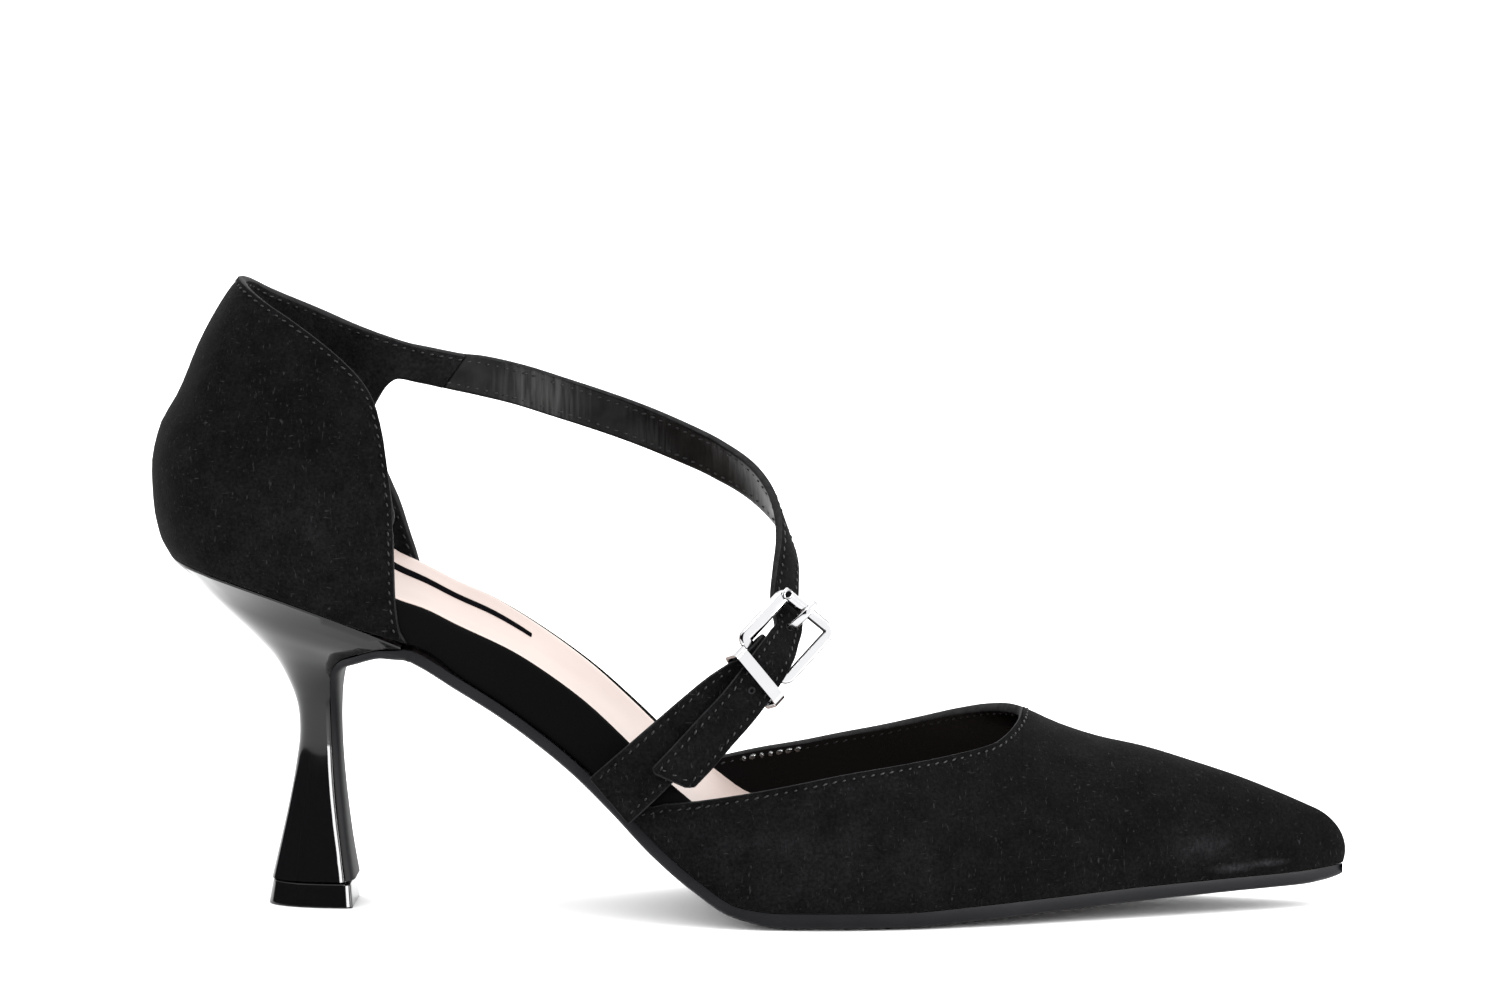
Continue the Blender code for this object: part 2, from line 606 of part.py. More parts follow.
def ribbon_frames(rows):
    """Centre, width direction and half width at each row of a strap, smoothed between the rows."""
    centres = [row[:3] if isinstance(row, StrapRow) else on_buckle(*row[:3]) for row in rows]
    packed = [np.concatenate([c, facing(r.turn, r.tilt) * 10, [r.width]]) for c, r in zip(centres, rows)]
    samples = spline(packed, [2] * (len(rows) - 1), False)
    ways = np.gradient(samples[:, :3], axis=0)
    frames = []
    for sample, way in zip(samples, ways):
        way = way / np.linalg.norm(way)
        normal = sample[3:6] - way * np.dot(sample[3:6], way)
        normal /= np.linalg.norm(normal)
        frames.append((sample[:3], np.cross(way, normal), normal, sample[6] / 2))
    return frames


def ribbon_cells(frames, across, skip=()):
    """Outer points and cells of a ribbon, from its lower edge to its upper edge."""
    points, cells = {}, []
    for i, (centre, width, _, half) in enumerate(frames):
        for j in range(across + 1):
            points[("ribbon", i, j)] = centre + width * half * (2 * j / across - 1)
    for i in range(len(frames) - 1):
        for j in range(across):
            if (i, j) not in skip:
                corners = ((i + 1, j), (i, j), (i, j + 1), (i + 1, j + 1))
                cells.append(("outer", [("ribbon", *corner) for corner in corners]))
    return points, cells


def root_frames():
    """How many of the strap's frames belong to its root on the counter."""
    return 2 * [row.x for row in STRAP].index(ROOT_END_X) + 1


# Pieces of the shoe

def build_columns():
    points = outline_points()
    half = len(points) // 2
    return [column_at(point, -1 if index <= half else 1) for index, point in enumerate(points)]


def upper_cells(columns):
    """The upper's outer points and cells, with the waist rand on a deeper layer."""
    total, half = len(columns), len(columns) // 2
    points, cells = {}, []

    def key(index, row):
        index %= total
        column = columns[index]
        if row > RAND_ROW and abs(column.x - WING_X[3]) < 0.01:
            row = RAND_ROW
        if row == TOP_ROW and column.x > THROAT_X - 0.01:
            index = min(index, total - index)
        return (index, row)

    for index, column in enumerate(columns):
        for row, point in enumerate(column_points(column)):
            points.setdefault(key(index, row), point)
    for index in range(total):
        a, b = columns[index], columns[(index + 1) % total]
        side = -1 if index < half else 1
        low, high = min(a.x, b.x), max(a.x, b.x)
        toe_first = side == 1
        for row in range(TOP_ROW):
            corners = [key(index, row), key(index + 1, row), key(index + 1, row + 1), key(index, row + 1)]
            corners = [c for i, c in enumerate(corners) if c != corners[i - 1]]
            counter = high <= FRONT_X[side] + 0.01
            wing = [i for i in range(3) if abs(low - WING_X[i]) < 0.01]
            if counter or low >= WING_X[3] - 0.01:
                cells.append(("cover", corners))
            elif row < RAND_ROW and not wing:
                cells.append(("rand", corners))
            elif row < RAND_ROW and row != wing[0]:
                cells.append(("cover" if row < wing[0] else "rand", corners))
            elif row < RAND_ROW and toe_first:
                cells.append(("cover", [corners[0], corners[1], corners[3]]))
                cells.append(("rand", [corners[1], corners[2], corners[3]]))
            elif row < RAND_ROW:
                cells.append(("cover", [corners[0], corners[1], corners[2]]))
                cells.append(("rand", [corners[0], corners[2], corners[3]]))
    return points, cells


def root_cells(columns, points):
    """The stretch of strap that is cut in one with the medial counter."""
    total = len(columns)
    edge = next(i for i in range(total // 2, total) if abs(columns[i].x - MEDIAL_FRONT_X) < 0.01)
    frames = ribbon_frames(STRAP)[1:root_frames()]
    rows = TOP_ROW - NOTCH_ROW
    cells = []

    def key(step, j):
        return (edge, NOTCH_ROW + j) if step == 0 else ("root", step, j)

    for step, (centre, width, _, half) in enumerate(frames, 1):
        for j in range(rows + 1):
            points[key(step, j)] = centre + width * half * (2 * j / rows - 1)
    for step in range(len(frames)):
        for j in range(rows):
            corners = [key(step + 1, j), key(step, j), key(step, j + 1), key(step + 1, j + 1)]
            cells.append(("cover", corners))
    return cells


def make_upper(columns):
    points, cells = upper_cells(columns)
    cells += root_cells(columns, points)
    solid("upper", *shell(points, cells, {"cover": 0.0, "rand": RAND_STEP}, WALL))


def lining_point(column, rise, extra):
    """A point inside the upper's wall, a gap and an extra inset away from it."""
    ahead = side_point(column, rise + 0.5)
    here = side_point(column, rise)
    up = (ahead - here) / np.linalg.norm(ahead - here)
    inward = np.array([*column.inward, 0.0])
    normal = inward - up * np.dot(inward, up)
    return here + normal / np.linalg.norm(normal) * (WALL + INSOLE_GAP + extra)


def make_insole(columns):
    """The footbed: edge rings that follow the wall, and strips across the top and the bottom."""
    half = len(columns) // 2
    across = 6
    rises = (0.25, 0.5, 1.0)
    vertices, faces, numbers = [], [], {}

    def vertex(key, point):
        if key not in numbers:
            numbers[key] = len(vertices)
            vertices.append(point)
        return numbers[key]

    def edge(index, ring):
        column = columns[index % len(columns)]
        rise = rand_rise[column.side](column.x) * rises[ring]
        point = lining_point(column, rise if ring else GAP, 0.0 if ring else INSOLE_FOOT)
        if ring == 0:
            point[2] = column.seat + GAP
        return vertex(("edge", index % len(columns), ring), point)

    def strip(index, step, ring):
        if index in (0, half) or step in (0, across):
            return edge(index if step == 0 or index in (0, half) else -index, ring)
        left = np.array(vertices[edge(index, ring)])
        right = np.array(vertices[edge(-index, ring)])
        share = step / across
        point = left + (right - left) * share
        if ring == 0:
            point[2] = seat_z(point[0]) + GAP
        else:
            hollow = min(INSOLE_HOLLOW, 0.045 * np.linalg.norm(right - left))
            point[2] -= hollow * (1 - (2 * share - 1) ** 2)
        return vertex(("strip", index, step, ring), point)

    total = len(columns)
    for index in range(total):
        for ring in range(len(rises) - 1):
            faces.append([edge(index, ring), edge(index + 1, ring), edge(index + 1, ring + 1), edge(index, ring + 1)])
    top = len(rises) - 1
    for index in range(half):
        for step in range(across):
            for ring in (0, top):
                face = [strip(index, step, ring), strip(index + 1, step, ring)]
                face += [strip(index + 1, step + 1, ring), strip(index, step + 1, ring)]
                faces.append(face if ring else face[::-1])
    solid("insole", vertices, [list(dict.fromkeys(face)) for face in faces])


def sole_depth(x):
    if x < TREAD_X[0]:
        return SOLE_WAIST + (SOLE_BALL - SOLE_WAIST) * ease(x, SOLE_THICKENS_X, TREAD_X[0])
    return SOLE_BALL + (SOLE_TOE - SOLE_BALL) * ease(x, TREAD_X[1], SOLE_THIN_X)


def sole_ring(top_left, top_right, down, depth):
    """One cross-section of the sole: a flat top, upright edges and a rounded lower rim."""
    width = np.linalg.norm(top_right - top_left)
    across = (top_right - top_left) / width
    rim = min(SOLE_RIM, width * 0.12)
    turn = min(SOLE_TURN, width * 0.3)
    left = [(0.0, 0.0), (0.0, depth - SOLE_ROUND * 1.6), (rim, depth - SOLE_ROUND * 0.55), (turn, depth)]
    right = [(width - a, d) for a, d in reversed(left)]
    tops = [(width * share, 0.0) for share in (0.75, 0.5, 0.25)]
    return [top_left + across * a + down * d for a, d in left + right + tops]


def make_outsole(columns):
    """The sole as cross-sections from the toe to the waist, then down the heel's front face."""
    half = len(columns) // 2
    rings = []
    for index in range(half, 0, -1):
        lateral, medial = columns[index], columns[-index % len(columns)]
        if min(lateral.x, medial.x) < MEDIAL_FRONT_X + 0.5:
            break
        x = (lateral.x + medial.x) / 2 - (TOE_SETBACK if index == half else 0.0)
        slope = (seat_z(x + 0.5) - seat_z(x - 0.5)) if x < TREAD_X[0] else 0.0
        down = np.array([slope, 0.0, -1.0]) / math.hypot(slope, 1.0)
        ends = (lateral.y + SOLE_INSET, medial.y - SOLE_INSET)
        if index == half:
            ends = (lateral.y - TOE_HALF, medial.y + TOE_HALF)
        left, right = (np.array([x, y, seat_z(x) - GAP]) for y in ends)
        rings.append(sole_ring(left, right, down, sole_depth(x)))
    path = even_spline([(row.x, row.z, row.half) for row in FLAP_PATH])
    for i, (x, z, wide) in enumerate(path):
        way = path[min(i + 1, len(path) - 1)] - path[max(i - 1, 0)]
        down = np.array([-way[1], 0.0, way[0]]) / math.hypot(way[0], way[1])
        left, right = np.array([x, -wide, z]), np.array([x, wide - 1.3 * ease(x, 8.0, 22.0), z])
        depth = SOLE_WAIST + (FLAP - SOLE_WAIST) * ease(i, 0, 6)
        rings.append(sole_ring(left, right, down, depth))
    solid("outsole", *loft(rings))


def even_spline(points):
    return spline(points, [2] * (len(points) - 1), False)


def heel_section(row):
    """A D-shaped ring: round at the back, flat at the front."""
    angles = np.linspace(-math.pi / 2, math.pi / 2, 61)
    curve = []
    for angle in angles:
        share = max(math.cos(angle), 0.0) ** 0.85
        y = row.half * math.copysign(abs(math.sin(angle)) ** 0.9, math.sin(angle))
        x = row.front_x + (row.back_x - row.front_x) * share
        z = row.front_z + (row.back_z - row.front_z) * share
        curve.append((x, y, z))
    return heel_ring(curve)


def heel_ring(curve):
    around = even_points(curve, HEEL_AROUND)
    front = [around[-1] + (around[0] - around[-1]) * step / HEEL_ACROSS for step in range(1, HEEL_ACROSS)]
    return [*around, *front]


def seat_ring():
    """The heel's upper rim, under the featherline."""
    points = outline_points()
    half = len(points) // 2
    order = [points[i % len(points)] for i in range(half, -half, -1)]
    rim = [(p[0], p[1] * (1 - SOLE_INSET / 25)) for p in order if p[0] < HEEL_SEAT_FRONT_X]
    first, last = rim[0][1], rim[-1][1]
    rim = [(HEEL_SEAT_FRONT_X, first)] + rim + [(HEEL_SEAT_FRONT_X, last)]
    return heel_ring([(x + SOLE_INSET * (x < -20), y, seat_z(x) - GAP) for x, y in rim])


def make_heel():
    rings = [heel_section(row) for row in HEEL]
    top = seat_ring()
    lower = [np.array(point) - np.array([0.0, 0.0, HEEL_LIP]) for point in top]
    vertices, faces = loft(rings + [lower, top])
    faces.pop()
    start = (len(rings) + 1) * len(top)
    middle = HEEL_AROUND // 2
    for i in range(middle):
        mirror = HEEL_AROUND - 1 - i
        face = [start + i, start + i + 1, start + mirror - 1, start + mirror]
        if i == 0:
            face += range(start + HEEL_AROUND, start + len(top))
        faces.append(face)
    solid("heel", vertices, faces)


def make_heel_tip():
    low = HeelRow(TIP_BACK, 0.0, TIP_FRONT, 0.0, TIP_HALF)
    foot = HeelRow(TIP_BACK + 0.3, 0.0, TIP_FRONT - 0.3, 0.0, TIP_HALF - 0.3)
    rim = low._replace(back_z=0.4, front_z=0.4)
    top = HeelRow(TIP_BACK + TIP_TAPER, TIP_HEIGHT, TIP_FRONT - TIP_TAPER / 2, TIP_HEIGHT, TIP_HALF - TIP_TAPER / 2)
    solid("heel_tip", *loft([heel_section(row) for row in (foot, rim, top)]))


def make_strap():
    frames = ribbon_frames(STRAP + STRAP_END)[root_frames() - 1:]
    centre, width, normal, half = frames[0]
    frames[0] = (centre + np.cross(normal, width) * GAP, width, normal, half)
    points, cells = ribbon_cells(frames, 2)
    last = len(frames) - 1
    for j, slant in enumerate((-TIP_SLANT, -TIP_SLANT / 2, 0.0)):
        points[("ribbon", last, j)] = points[("ribbon", last, j)] - ALONG * slant
    strap = solid("instep_strap", *shell(points, cells, {"outer": 0.0}, STRAP_WALL))
    pierce(strap, "strap_hole_cutter", on_buckle(HOLE_ALONG, PRONG_ACROSS, HOLE_OUT), HOLE_R)


def pierce(item, name, centre, radius):
    """A round hole through a strap, along the buckle's outward axis."""
    ring = [
        ALONG * math.cos(2 * math.pi * i / 10) * radius * 2.1 + ACROSS * math.sin(2 * math.pi * i / 10) * radius
        for i in range(10)
    ]
    cutter = solid(name, *loft([[centre + r + OUT * d for r in ring] for d in (-5.0, 5.0)]))
    cutter.hide_render = True
    cutter.display_type = "WIRE"
    cut = item.modifiers.new("hole", "BOOLEAN")
    cut.operation = "DIFFERENCE"
    cut.solver = "EXACT"
    cut.object = cutter


def make_chape():
    """The buckle strap, with the slot in its fold that the prong comes through."""
    frames = ribbon_frames(CHAPE)
    centre_across = CHAPE[-1].across
    fold = spline([(row.along, row.out) for row in FOLD], [2] * (len(FOLD) - 1), False)
    ways = np.gradient(fold, axis=0)
    for (along, out), way in zip(fold, ways):
        way = way / np.linalg.norm(way)
        normal = -ALONG * way[1] + OUT * way[0]
        frames.append((on_buckle(along, centre_across, out), ACROSS, normal, FOLD_WIDTH / 2))
    points, cells = {}, []
    slot = PRONG_SLOT / FOLD_WIDTH
    shares = (-1.0, -slot, slot, 1.0)
    for i, (centre, width, normal, half) in enumerate(frames):
        for j, share in enumerate(shares):
            points[(i, j)] = centre + width * half * share + normal * CHAPE_WALL / 2
    first = len(ribbon_frames(CHAPE))
    for i in range(len(frames) - 1):
        for j in range(3):
            if j != 1 or not first <= i < first + 14:
                cells.append(("outer", [(i + 1, j), (i, j), (i, j + 1), (i + 1, j + 1)]))
    solid("buckle_strap", *shell(points, cells, {"outer": 0.0}, CHAPE_WALL))


# Metal pieces

def swept(centres, sides, radius, closed, flat=1.0):
    """A bar along a run of centres, with the given side direction at each and a share of its radius that way."""
    rings = []
    count = len(centres)
    for i, centre in enumerate(centres):
        before = centres[i - 1] if closed or i else centres[0]
        after = centres[(i + 1) % count] if closed or i < count - 1 else centres[-1]
        way = (after - before) / np.linalg.norm(after - before)
        side = sides[i] - way * np.dot(sides[i], way)
        side = side / np.linalg.norm(side)
        other = np.cross(way, side)
        size = radius[i] if isinstance(radius, list) else radius
        rings.append([
            centre + (side * math.cos(2 * math.pi * k / 8) * flat + other * math.sin(2 * math.pi * k / 8)) * size
            for k in range(8)
        ])
    if not closed:
        return loft(rings)
    vertices = [point for ring in rings for point in ring]
    faces = []
    for r in range(count):
        for k in range(8):
            a, b = r * 8, ((r + 1) % count) * 8
            faces.append([a + k, a + (k + 1) % 8, b + (k + 1) % 8, b + k])
    return vertices, faces


def rounded_loop(long, wide, radius):
    """The corners and sides of a rounded rectangle, as (along, across) pairs."""
    points = []
    for corner, (cx, cy) in enumerate(((1, 1), (0, 1), (0, 0), (1, 0))):
        for step in range(4):
            angle = math.pi / 2 * (corner + step / 3)
            x = (long - radius if cx else radius) + radius * math.cos(angle)
            y = (wide - radius if cy else radius) + radius * math.sin(angle)
            points.append((x, y))
    return points


def make_buckle():
    inset = BUCKLE_BAR
    loop = rounded_loop(BUCKLE_LONG - 2 * inset, BUCKLE_WIDE - 2 * inset, BUCKLE_CORNER_R)
    centres = [on_buckle(a + inset, c + inset, 0.0) for a, c in loop]
    solid("buckle_frame", *swept(centres, [OUT] * len(centres), BUCKLE_BAR, True, BUCKLE_FLAT / BUCKLE_BAR))


def make_prong():
    """The prong: hooked round the buckle's near bar, out through the strap's hole and over the far bar."""
    ring = BUCKLE_BAR + GAP + PRONG_R
    path = []
    for step in range(9):
        angle = math.radians(75 + step * 27.5)
        path.append((BUCKLE_BAR + ring * math.cos(angle), ring * math.sin(angle)))
    path += [(row.along, row.out) for row in PRONG]
    centres = [on_buckle(along, PRONG_ACROSS, out) for along, out in path]
    radii = [PRONG_R] * (len(path) - 1) + [PRONG_R * 0.55]
    solid("buckle_prong", *swept(centres, [ACROSS] * len(centres), radii, False))


def make_keeper():
    """A flat metal loop round the buckle strap and the loose end."""
    low, high = KEEPER_ALONG - KEEPER_WIDE / 2, KEEPER_ALONG + KEEPER_WIDE / 2
    (left, right), (under, over) = KEEPER_ACROSS, KEEPER_OUT
    wall = KEEPER_WALL
    inner = [(left, under), (right, under), (right, over), (left, over)]
    outer = [(left - wall, under - wall), (right + wall, under - wall), (right + wall, over + wall), (left - wall, over + wall)]
    vertices = [on_buckle(a, c, o) for a in (low, high) for ring in (outer, inner) for c, o in ring]
    faces = []
    for i in range(4):
        j = (i + 1) % 4
        faces.append([i, j, 8 + j, 8 + i])
        faces.append([4 + j, 4 + i, 12 + i, 12 + j])
        faces.append([j, i, 4 + i, 4 + j])
        faces.append([8 + i, 8 + j, 12 + j, 12 + i])
    solid("strap_keeper", vertices, faces)


def main():
    for item in list(bpy.data.objects):
        bpy.data.objects.remove(item)
    columns = build_columns()
    make_upper(columns)
    make_insole(columns)
    make_outsole(columns)
    make_heel()
    make_heel_tip()
    make_strap()
    make_chape()
    make_buckle()
    make_prong()
    make_keeper()


main()
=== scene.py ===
import bisect
import json
import math
from collections import namedtuple

import bpy
import numpy as np
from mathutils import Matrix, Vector

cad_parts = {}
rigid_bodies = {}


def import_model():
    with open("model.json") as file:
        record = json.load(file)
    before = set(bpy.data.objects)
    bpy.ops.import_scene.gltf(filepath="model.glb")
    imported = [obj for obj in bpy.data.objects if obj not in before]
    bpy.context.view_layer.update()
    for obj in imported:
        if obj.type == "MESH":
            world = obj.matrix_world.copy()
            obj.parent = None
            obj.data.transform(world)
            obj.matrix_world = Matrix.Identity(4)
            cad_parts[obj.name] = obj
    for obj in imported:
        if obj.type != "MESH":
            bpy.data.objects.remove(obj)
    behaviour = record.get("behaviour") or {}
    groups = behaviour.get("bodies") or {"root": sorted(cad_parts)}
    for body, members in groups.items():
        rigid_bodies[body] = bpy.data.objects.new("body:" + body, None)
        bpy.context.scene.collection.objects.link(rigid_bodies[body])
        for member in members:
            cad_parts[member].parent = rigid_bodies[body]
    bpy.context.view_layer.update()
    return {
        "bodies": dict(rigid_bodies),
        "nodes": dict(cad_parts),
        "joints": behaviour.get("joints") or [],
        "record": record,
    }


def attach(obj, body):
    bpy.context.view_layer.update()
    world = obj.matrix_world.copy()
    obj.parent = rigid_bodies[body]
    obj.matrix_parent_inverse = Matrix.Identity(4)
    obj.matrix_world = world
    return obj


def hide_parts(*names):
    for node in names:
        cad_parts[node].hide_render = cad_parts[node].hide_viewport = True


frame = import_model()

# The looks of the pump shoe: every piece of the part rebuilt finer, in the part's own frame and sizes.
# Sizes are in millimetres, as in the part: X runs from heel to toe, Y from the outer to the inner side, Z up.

MM = 0.001
NEAR = 0.01
TINY = 1e-9

# Clearance and wall thicknesses
GAP = 0.3
WALL = 2.0
RAND_STEP = 0.9
INSOLE_GAP = 0.6
INSOLE_FOOT = 0.6
INSOLE_HOLLOW = 1.6
STRAP_WALL = 1.6
CHAPE_WALL = 1.3

# Ends of the plan outline, and the upright line that the heel's ribs turn round
HEEL_BACK_X = -28.6
HEEL_BACK_COLUMNS = 3
HEEL_CENTRE_X = -2.0
HEEL_BLEND_X = 14.0
TOE_TIP = (212.6, 4.8)

# Places along the foot
LATERAL_FRONT_X = 19.2
MEDIAL_FRONT_X = 23.0
WAIST_END_X = 56.0
WING_X = (66.5, 70.2, 74.2, 79.4)
THROAT_X = 146.6
NOSE_X = 196.0
NOSE_SHARE = 0.62
RAND_FULL_X = 19.0
RAND_FLAT_X = 42.0
RAND_BULGE = 0.3
COUNTER_TURN = 1.2
LEAN_FADE = 15

# Rows of the upper's grid: rand top, strap's lower edge, collar
RAND_ROW = 9
NOTCH_ROW = 23
TOP_ROW = 35
ROW_CROWDING = 1.5
HALVINGS = 40
COLLAR_START = 50.0
COLLAR_ROUNDS = 30
COLLAR_PULL = 0.6
STRAP_ROOT = 11.2
ROOT_END_X = 28.0

# Outsole
SOLE_INSET = 0.3
SOLE_BALL = 3.5
SOLE_WAIST = 2.8
SOLE_TOE = 3.2
SOLE_ROUND = 0.7
SOLE_ROUND_START = 1.6
SOLE_ROUND_BEND = (0.4, 0.2)
SOLE_RIM = 1.0
SOLE_RIM_SHARE = 0.12
SOLE_TURN_SHARE = 0.3
SOLE_TOPS = (0.75, 0.5, 0.25)
SOLE_TURN = 5.0
SOLE_THICKENS_X = 88.0
TREAD_X = (98.0, 123.0)
SOLE_THIN_X = 205.0
TOE_HALF = 1.6
TOE_SETBACK = 0.2
TOE_THIN = 0.8
TOE_TAPER = 0.6
TOE_TAPER_X = (203.0, 213.0)
FLAP = 1.8
FLAP_TURN = 3.0
FLAP_PLACES = (0.0, 0.25, 0.5, 0.75, 1.0)
FLAP_INSETS = (0.0, 0.1, 0.25, 0.52, 1.0)
FLAP_DEPTHS = (0.03, 0.32, 0.64, 0.86, 1.0)
FLAP_TRIM = 1.3
FLAP_TRIM_X = (8.0, 22.0)

# Heel tip
TIP_HEIGHT = 5.0
TIP_BACK = -8.8
TIP_FRONT = 9.2
TIP_HALF = 9.8
TIP_TAPER = 0.9
TIP_CORNER = (1.15, 0.9)
# Rings of the tip as (height, inset)
TIP_PROFILE = (
    (0.0, 0.15), (0.08, 0.04), (0.3, 0.0), (0.6, 0.0), (2.5, 0.0), (4.5, 0.0), (4.7, 0.0), (4.9, 0.1),
    (5.0, 0.35),
)

# Buckle: corner nearest the heel, its sizes and its three axes
BUCKLE_CORNER = (88.9, -24.0, 57.1)
BUCKLE_LONG = 15.0
BUCKLE_WIDE = 12.2
BUCKLE_BAR = 0.95
BUCKLE_FLAT = 0.65
BUCKLE_CORNER_R = 1.3
BUCKLE_TURN = -72.9
BUCKLE_TILT = 10.8
BUCKLE_ROLL = 44.4
PRONG_R = 0.6
PRONG_ACROSS = BUCKLE_WIDE / 2
PRONG_SLOT = 2.4
KEEPER_ALONG = -2.5
KEEPER_ACROSS = (1.2, 13.4)
KEEPER_SKEW = -0.11
KEEPER_OUT = (-2.5, 5.0)
KEEPER_WIDE = 2.6
KEEPER_WALL = 0.7
KEEPER_BEVEL = (0.2, 0.15)

# Fineness of the meshes, their rims, and how far corners of the upper are eased
COLUMN_STEPS = 3
STRAP_STEPS = 8
STRAP_ACROSS = 14
STRAP_CROWN = 0.25
FACING_WEIGHT = 10
SEAM_SKEW = 1.5
SEAM_BLEND = 8
FOLD_STEPS = 6
SLOT_SPANS = 7
SLOT_CELLS = (3, 4)
FLAP_STEPS = 4
SOLE_EDGE_STEPS = 8
RIM_STEPS = 4
RIM_BULGE = 0.3
RAND_UNDERLAP = 4.0
RAND_BACK = 0.1
RELAX_ROUNDS = 50
RELAX_CORE = 0.5
RELAX_PULL = 0.5
NOTCH_REACH = 7.0
COLLAR_REACH = 11.0
CORNER_REACH = 6.0
BAR_SIDES = 24
CORNER_STEPS = 6
KEEPER_CORNER_R = 0.8

# Stitches: length, spacing, thread and how far in from an edge they run
STITCH_LONG = 1.05
STITCH_PITCH = 2.0
THREAD_R = 0.21
STITCH_LIFT = {"outer": 0.02, "inner": 0.06}
STITCH_SLANT = 0.28
STITCH_SINK = 0.16
STITCH_RATE = 1.7
STITCH_UNEVEN = (1.15, 0.45, 2.9)
TROUGH = 0.16
TROUGH_WIDE = 0.7
PUCKER_LONG = 1.7
PUCKER_PITCH = 1.9
PUCKER_R = 0.72
PUCKER_RATE = 2.3
PUCKER_SINK = (0.1, 0.4)
PUCKER_UNEVEN = (0.7, 0.5)
PUCKER_X = (86.0, 101.0)
EDGE_INSET = 1.1
NOTCH_UNSEWN = 8
COLLAR_INSET = 0.85
STRAP_INSET = 1.15
BEAD_SIDES = 6
BEAD_RINGS = ((-1.0, 0.15), (-0.75, 0.75), (-0.3, 1.0), (0.3, 1.0), (0.75, 0.75), (1.0, 0.15))

# Punched holes, drawn as dark ovals of painted shade, as (name, place along the buckle, half sizes, ring)
STRAP_HOLES = [("punched_hole", -6.4, (0.62, 0.55), 0.22), ("prong_hole", 9.7, (1.1, 0.75), 0.1)]
HOLE_SIDES = 24
HOLE_LIFT = 0.05
HOLE_OUT_FROM = -4.5

# Footbed: its edge from foot to rolled top as (share of the height, drop, inset), and the plain label bar
SOCK_EDGE = (
    (0.0, 0.0, INSOLE_FOOT), (0.5, 0.0, 0.0), (1.0, 1.4, 0.0), (1.0, 0.7, 0.05), (1.0, 0.25, 0.25),
    (1.0, 0.05, 0.6), (1.0, 0.0, 1.1), (1.0, 0.0, 2.5),
)
SOCK_ACROSS = 16
SOCK_RISE = 0.4
SOCK_HOLLOW = 0.045
LABEL_X = (14.0, 30.0, 46.0)
LABEL_Y = (11.0, 8.2, 7.0)
LABEL_WIDE = (4.2, 2.8, 2.0)
LABEL_ACROSS = 4
LABEL_LIFT = 0.25

# Suede: painted sheen, soft light patches where the nap catches the light on the counter, vamp and toe, with
# thin light scuffs near the toe's welt, as (x, y, z, width, height, light), and the ways its light fibres lie
SHEEN_AND_SCUFF_PATCHES = [
    (2.0, -25.0, 78.0, 22.0, 20.0, 0.0018), (183.0, -8.0, 14.0, 16.0, 8.0, 0.003),
    (108.0, -34.0, 14.0, 40.0, 14.0, 0.0016), (183.5, -12.0, 13.5, 8.0, 3.4, 0.005),
    (189.0, -9.2, 9.3, 7.0, 1.3, 0.015), (196.5, -5.6, 10.0, 6.0, 1.0, 0.016),
]
FIBRES = [
    ((500, 700, 2100), (0.2, 0.4, 0.1)), ((2100, 700, 520), (0.5, -0.3, 0.9)),
    ((1500, 900, 600), (0.1, 0.6, 0.3)),
]
FIBRE_STOPS = [(0.65, (0, 0, 0)), (0.78, (0.014, 0.014, 0.0149))]
SPECKLES = ((190, 4, 0.5, 1.2), (1500, 2, 0.4, 1.1))
COOL = 1.08

# Creases across the strap as (place, half width, depth), and the shining stretch of its lining there
STRAP_CREASES = [
    (36.5, 1.0, 0.06), (39.4, 0.9, 0.09), (42.2, 1.0, 0.08), (45.3, 0.9, 0.1), (48.6, 1.1, 0.08),
    (52.0, 1.0, 0.06), (84.5, 1.6, 0.15),
]
CREASE_FADE = 0.6
CREASED = (46.0, 23.0, 104.0)
CREASED_SIZE = (15.0, 15.0)

# Colours
LINING = (0.0016, 0.0015, 0.0015)
SOCK_TONES = ((0.312, 0.252, 0.228), (0.342, 0.28, 0.256))
SOLE_SHINE = 0.12

# Roller on the buckle's far bar as (across, radius), and the sections of the frame and the prong
ROLLER = ((-0.3, 0.5), (-0.3, 1.05), (-0.1, 1.25), (4.6, 1.25), (4.8, 1.05), (4.8, 0.6))
ROLLER_HOLE = (14.0, 0.75, 1.27)
ROLLER_HOLE_SIZE = (0.9, 0.72)
ROLLER_HOLE_RING = 0.22
BAR_WIDE = 1.15
BAR_BROAD = 1.5
BAR_SHIFT = 0.55
BAR_SQUARE = 0.55
BAR_INNER = range(2, 10)
BAR_OUTER = range(15, 21)
FRAME_SPREAD = 1.12
FRAME_SHEAR = 0.11
PRONG_THICK = 0.62
PRONG_FLAT = 1.4
PRONG_SQUARE = 0.6
PRONG_TAPER = 0.4
PRONG_TAPER_STEPS = 5
PRONG_HOOK = [75 + 27.5 * step for step in range(9)]
PRONG_STEPS = 3

# Studio and camera, in metres and degrees. Lights are (name, place, aim, size, power)
FLOOR_SIZE = 12.0
# Dark boards as (left, right, front, back, low, high)
FLAG = (-3.0, 0.75, -2.4, 2.5, 0.02, 1.6)
WORLD_LIGHT = 2.4
LIGHTS = [
    ("top_softbox", (0.1, 0.0, 1.6), (0.1, 0.0, 0.0), (1.6, 1.2), 16.0),
]
GLINTS = [
    ("heel_glint", (1.4, -0.8, 0.32), (0.0, 0.0, 0.03), (0.5, 0.9), 60.0),
    ("front_glint", (0.3, -1.5, 1.35), (0.08, 0.0, 0.05), (0.6, 0.3), 18.0),
]
CAMERA_AZIMUTH = 2.0
CAMERA_ELEVATION = 5.6
CAMERA_DISTANCE = 1.6
CAMERA_TARGET = (0.0905, 0.0, 0.0836)
CAMERA_LENS = 187.3
CAMERA_SENSOR = 36.0

